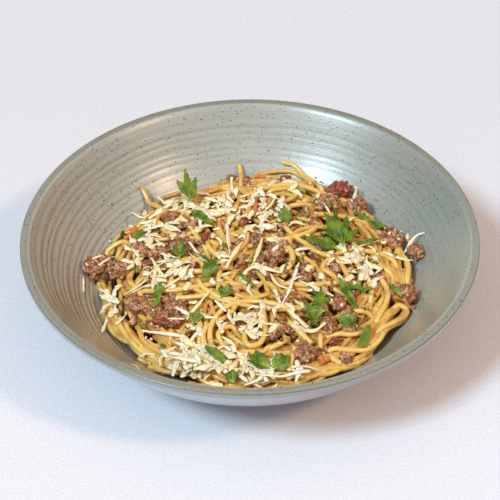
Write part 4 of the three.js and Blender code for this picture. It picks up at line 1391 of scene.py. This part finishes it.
def make_oil(finish):
    """Drops of orange oil on the bowl's wall."""
    shapes = Shapes()
    random = random_for("oil")
    points, faces = BALLS[3]
    for x, y in OIL_DROPS:
        size = random.uniform(0.5, 1.1)
        z = float(wall_height(x, y))
        shapes.add(points * (size, size, 0.35 * size) + (x, y, z + 0.1), faces, 0.8)
    add_piece(shapes, "oil_drops", finish, "tomato")


# The dish, from the bowl up
BALLS = {detail: ball(detail) for detail in (1, 2, 3, 4)}
ground = Ground()
pasta = pasta_finish("pasta", (0.52, 0.68), srgb(190, 128, 70))
# The strands below browner and darker than those on top, partly sauce and partly painted shade
sauced_and_shaded_pasta = pasta_finish("pasta in sauce and shade", (0.37, 0.61), srgb(178, 114, 52))
tomato = tomato_finish()
make_bowl(glaze_finish())
make_core(sauce_and_shade_finish())
spots = clear_spots()

bed = Shapes()
lay_loose_strands(bed, ground, "bed")
for index, run in enumerate(EDGE_RUNS):
    lay_edge_strands(bed, ground, run, random_for("edge", index))
meat = lay_mince(ground)
crumbs = Shapes()
crumb_random = random_for("crumbs")
crumb_kinds = make_crumb_kinds(crumb_random)
lay_crumbs(crumbs, crumb_kinds, ground, CRUMBS_UNDER, crumb_random)
lay_loose_strands(bed, ground, "upper", spots)
add_piece(bed, "strands_below", sauced_and_shaded_pasta, "pasta", "spaghetti")

top = Shapes()
lay_loose_strands(top, ground, "top", spots)
standing_random = random_for("standing")
for route, sinks in STRANDS:
    add_noodle(top, ground, route, sinks, "standing", standing_random)
add_piece(top, "strands_on_top", pasta, "pasta", "spaghetti")

make_vegetables(tomato, ground)
lay_crumbs(crumbs, crumb_kinds, ground, CRUMBS_OVER, crumb_random)
mince = mince_finish()
add_piece(meat, "mince_lumps", mince, "mince", *MINCE_LUMPS)
add_piece(crumbs, "mince_crumbs", mince, "mince")
make_cheese(cheese_finish(), ground)
make_parsley(parsley_finish(), ground)
make_oil(tomato)


# Table, light and camera
def make_table(finish):
    shapes = Shapes()
    corners = np.array([(-1, -1, 0), (1, -1, 0), (1, 1, 0), (-1, 1, 0)]) * float(TABLE_HALF)
    shapes.add(corners, np.array([(0, 1, 2), (0, 2, 3)]))
    shapes.to_object("table", finish)


def soft_light(name, toward, spread, colour):
    """A far, soft lamp."""
    strength = max(colour)
    lamp = bpy.data.lights.new(name, "SUN")
    lamp.angle = math.radians(spread)
    lamp.energy = strength
    lamp.color = [channel / strength for channel in colour]
    light = bpy.data.objects.new(name, lamp)
    light.rotation_euler = Vector(toward).to_track_quat("Z", "Y").to_euler()
    bpy.context.scene.collection.objects.link(light)


def make_camera():
    """At the photo's angle."""
    view = bpy.data.cameras.new("camera")
    view.sensor_width = CAMERA_SENSOR
    view.lens = CAMERA_LENS
    camera = bpy.data.objects.new("camera", view)
    place = Matrix.Translation([side * MM for side in CAMERA_PLACE])
    tilt = Matrix.Rotation(math.radians(90 - CAMERA_DOWN), 4, "X")
    roll = Matrix.Rotation(math.radians(CAMERA_ROLL), 4, "Z")
    camera.matrix_world = place @ tilt @ roll
    bpy.context.scene.collection.objects.link(camera)
    bpy.context.scene.camera = camera


def make_surroundings():
    """A warm room: dim low down, with a broad bright side toward the camera's upper left."""
    world = bpy.data.worlds.new("studio")
    world.use_nodes = True
    room = Nodes(world.node_tree)
    way = room.output("TexCoord", "Generated")
    lights = []
    for toward, low, high, strength in ROOM_LIGHT:
        dot = room.node("VectorMath")
        dot.operation = "DOT_PRODUCT"
        room.link(way, dot.inputs[0])
        room.link(Vector(toward).normalized(), dot.inputs[1])
        along = Term(room, dot.outputs["Value"])
        lights.append(strength * room.between(along, low, high))
    sky = room.tree.nodes["Background"]
    room.link(lights[0] + lights[1], sky.inputs["Strength"])
    room.link(ROOM_COLOUR, sky.inputs["Color"])
    bpy.context.scene.world = world
    bpy.context.scene.view_settings.view_transform = "Standard"


make_table(table_finish())
for name, lamp in LAMPS.items():
    soft_light(name, *lamp)
make_camera()
make_surroundings()
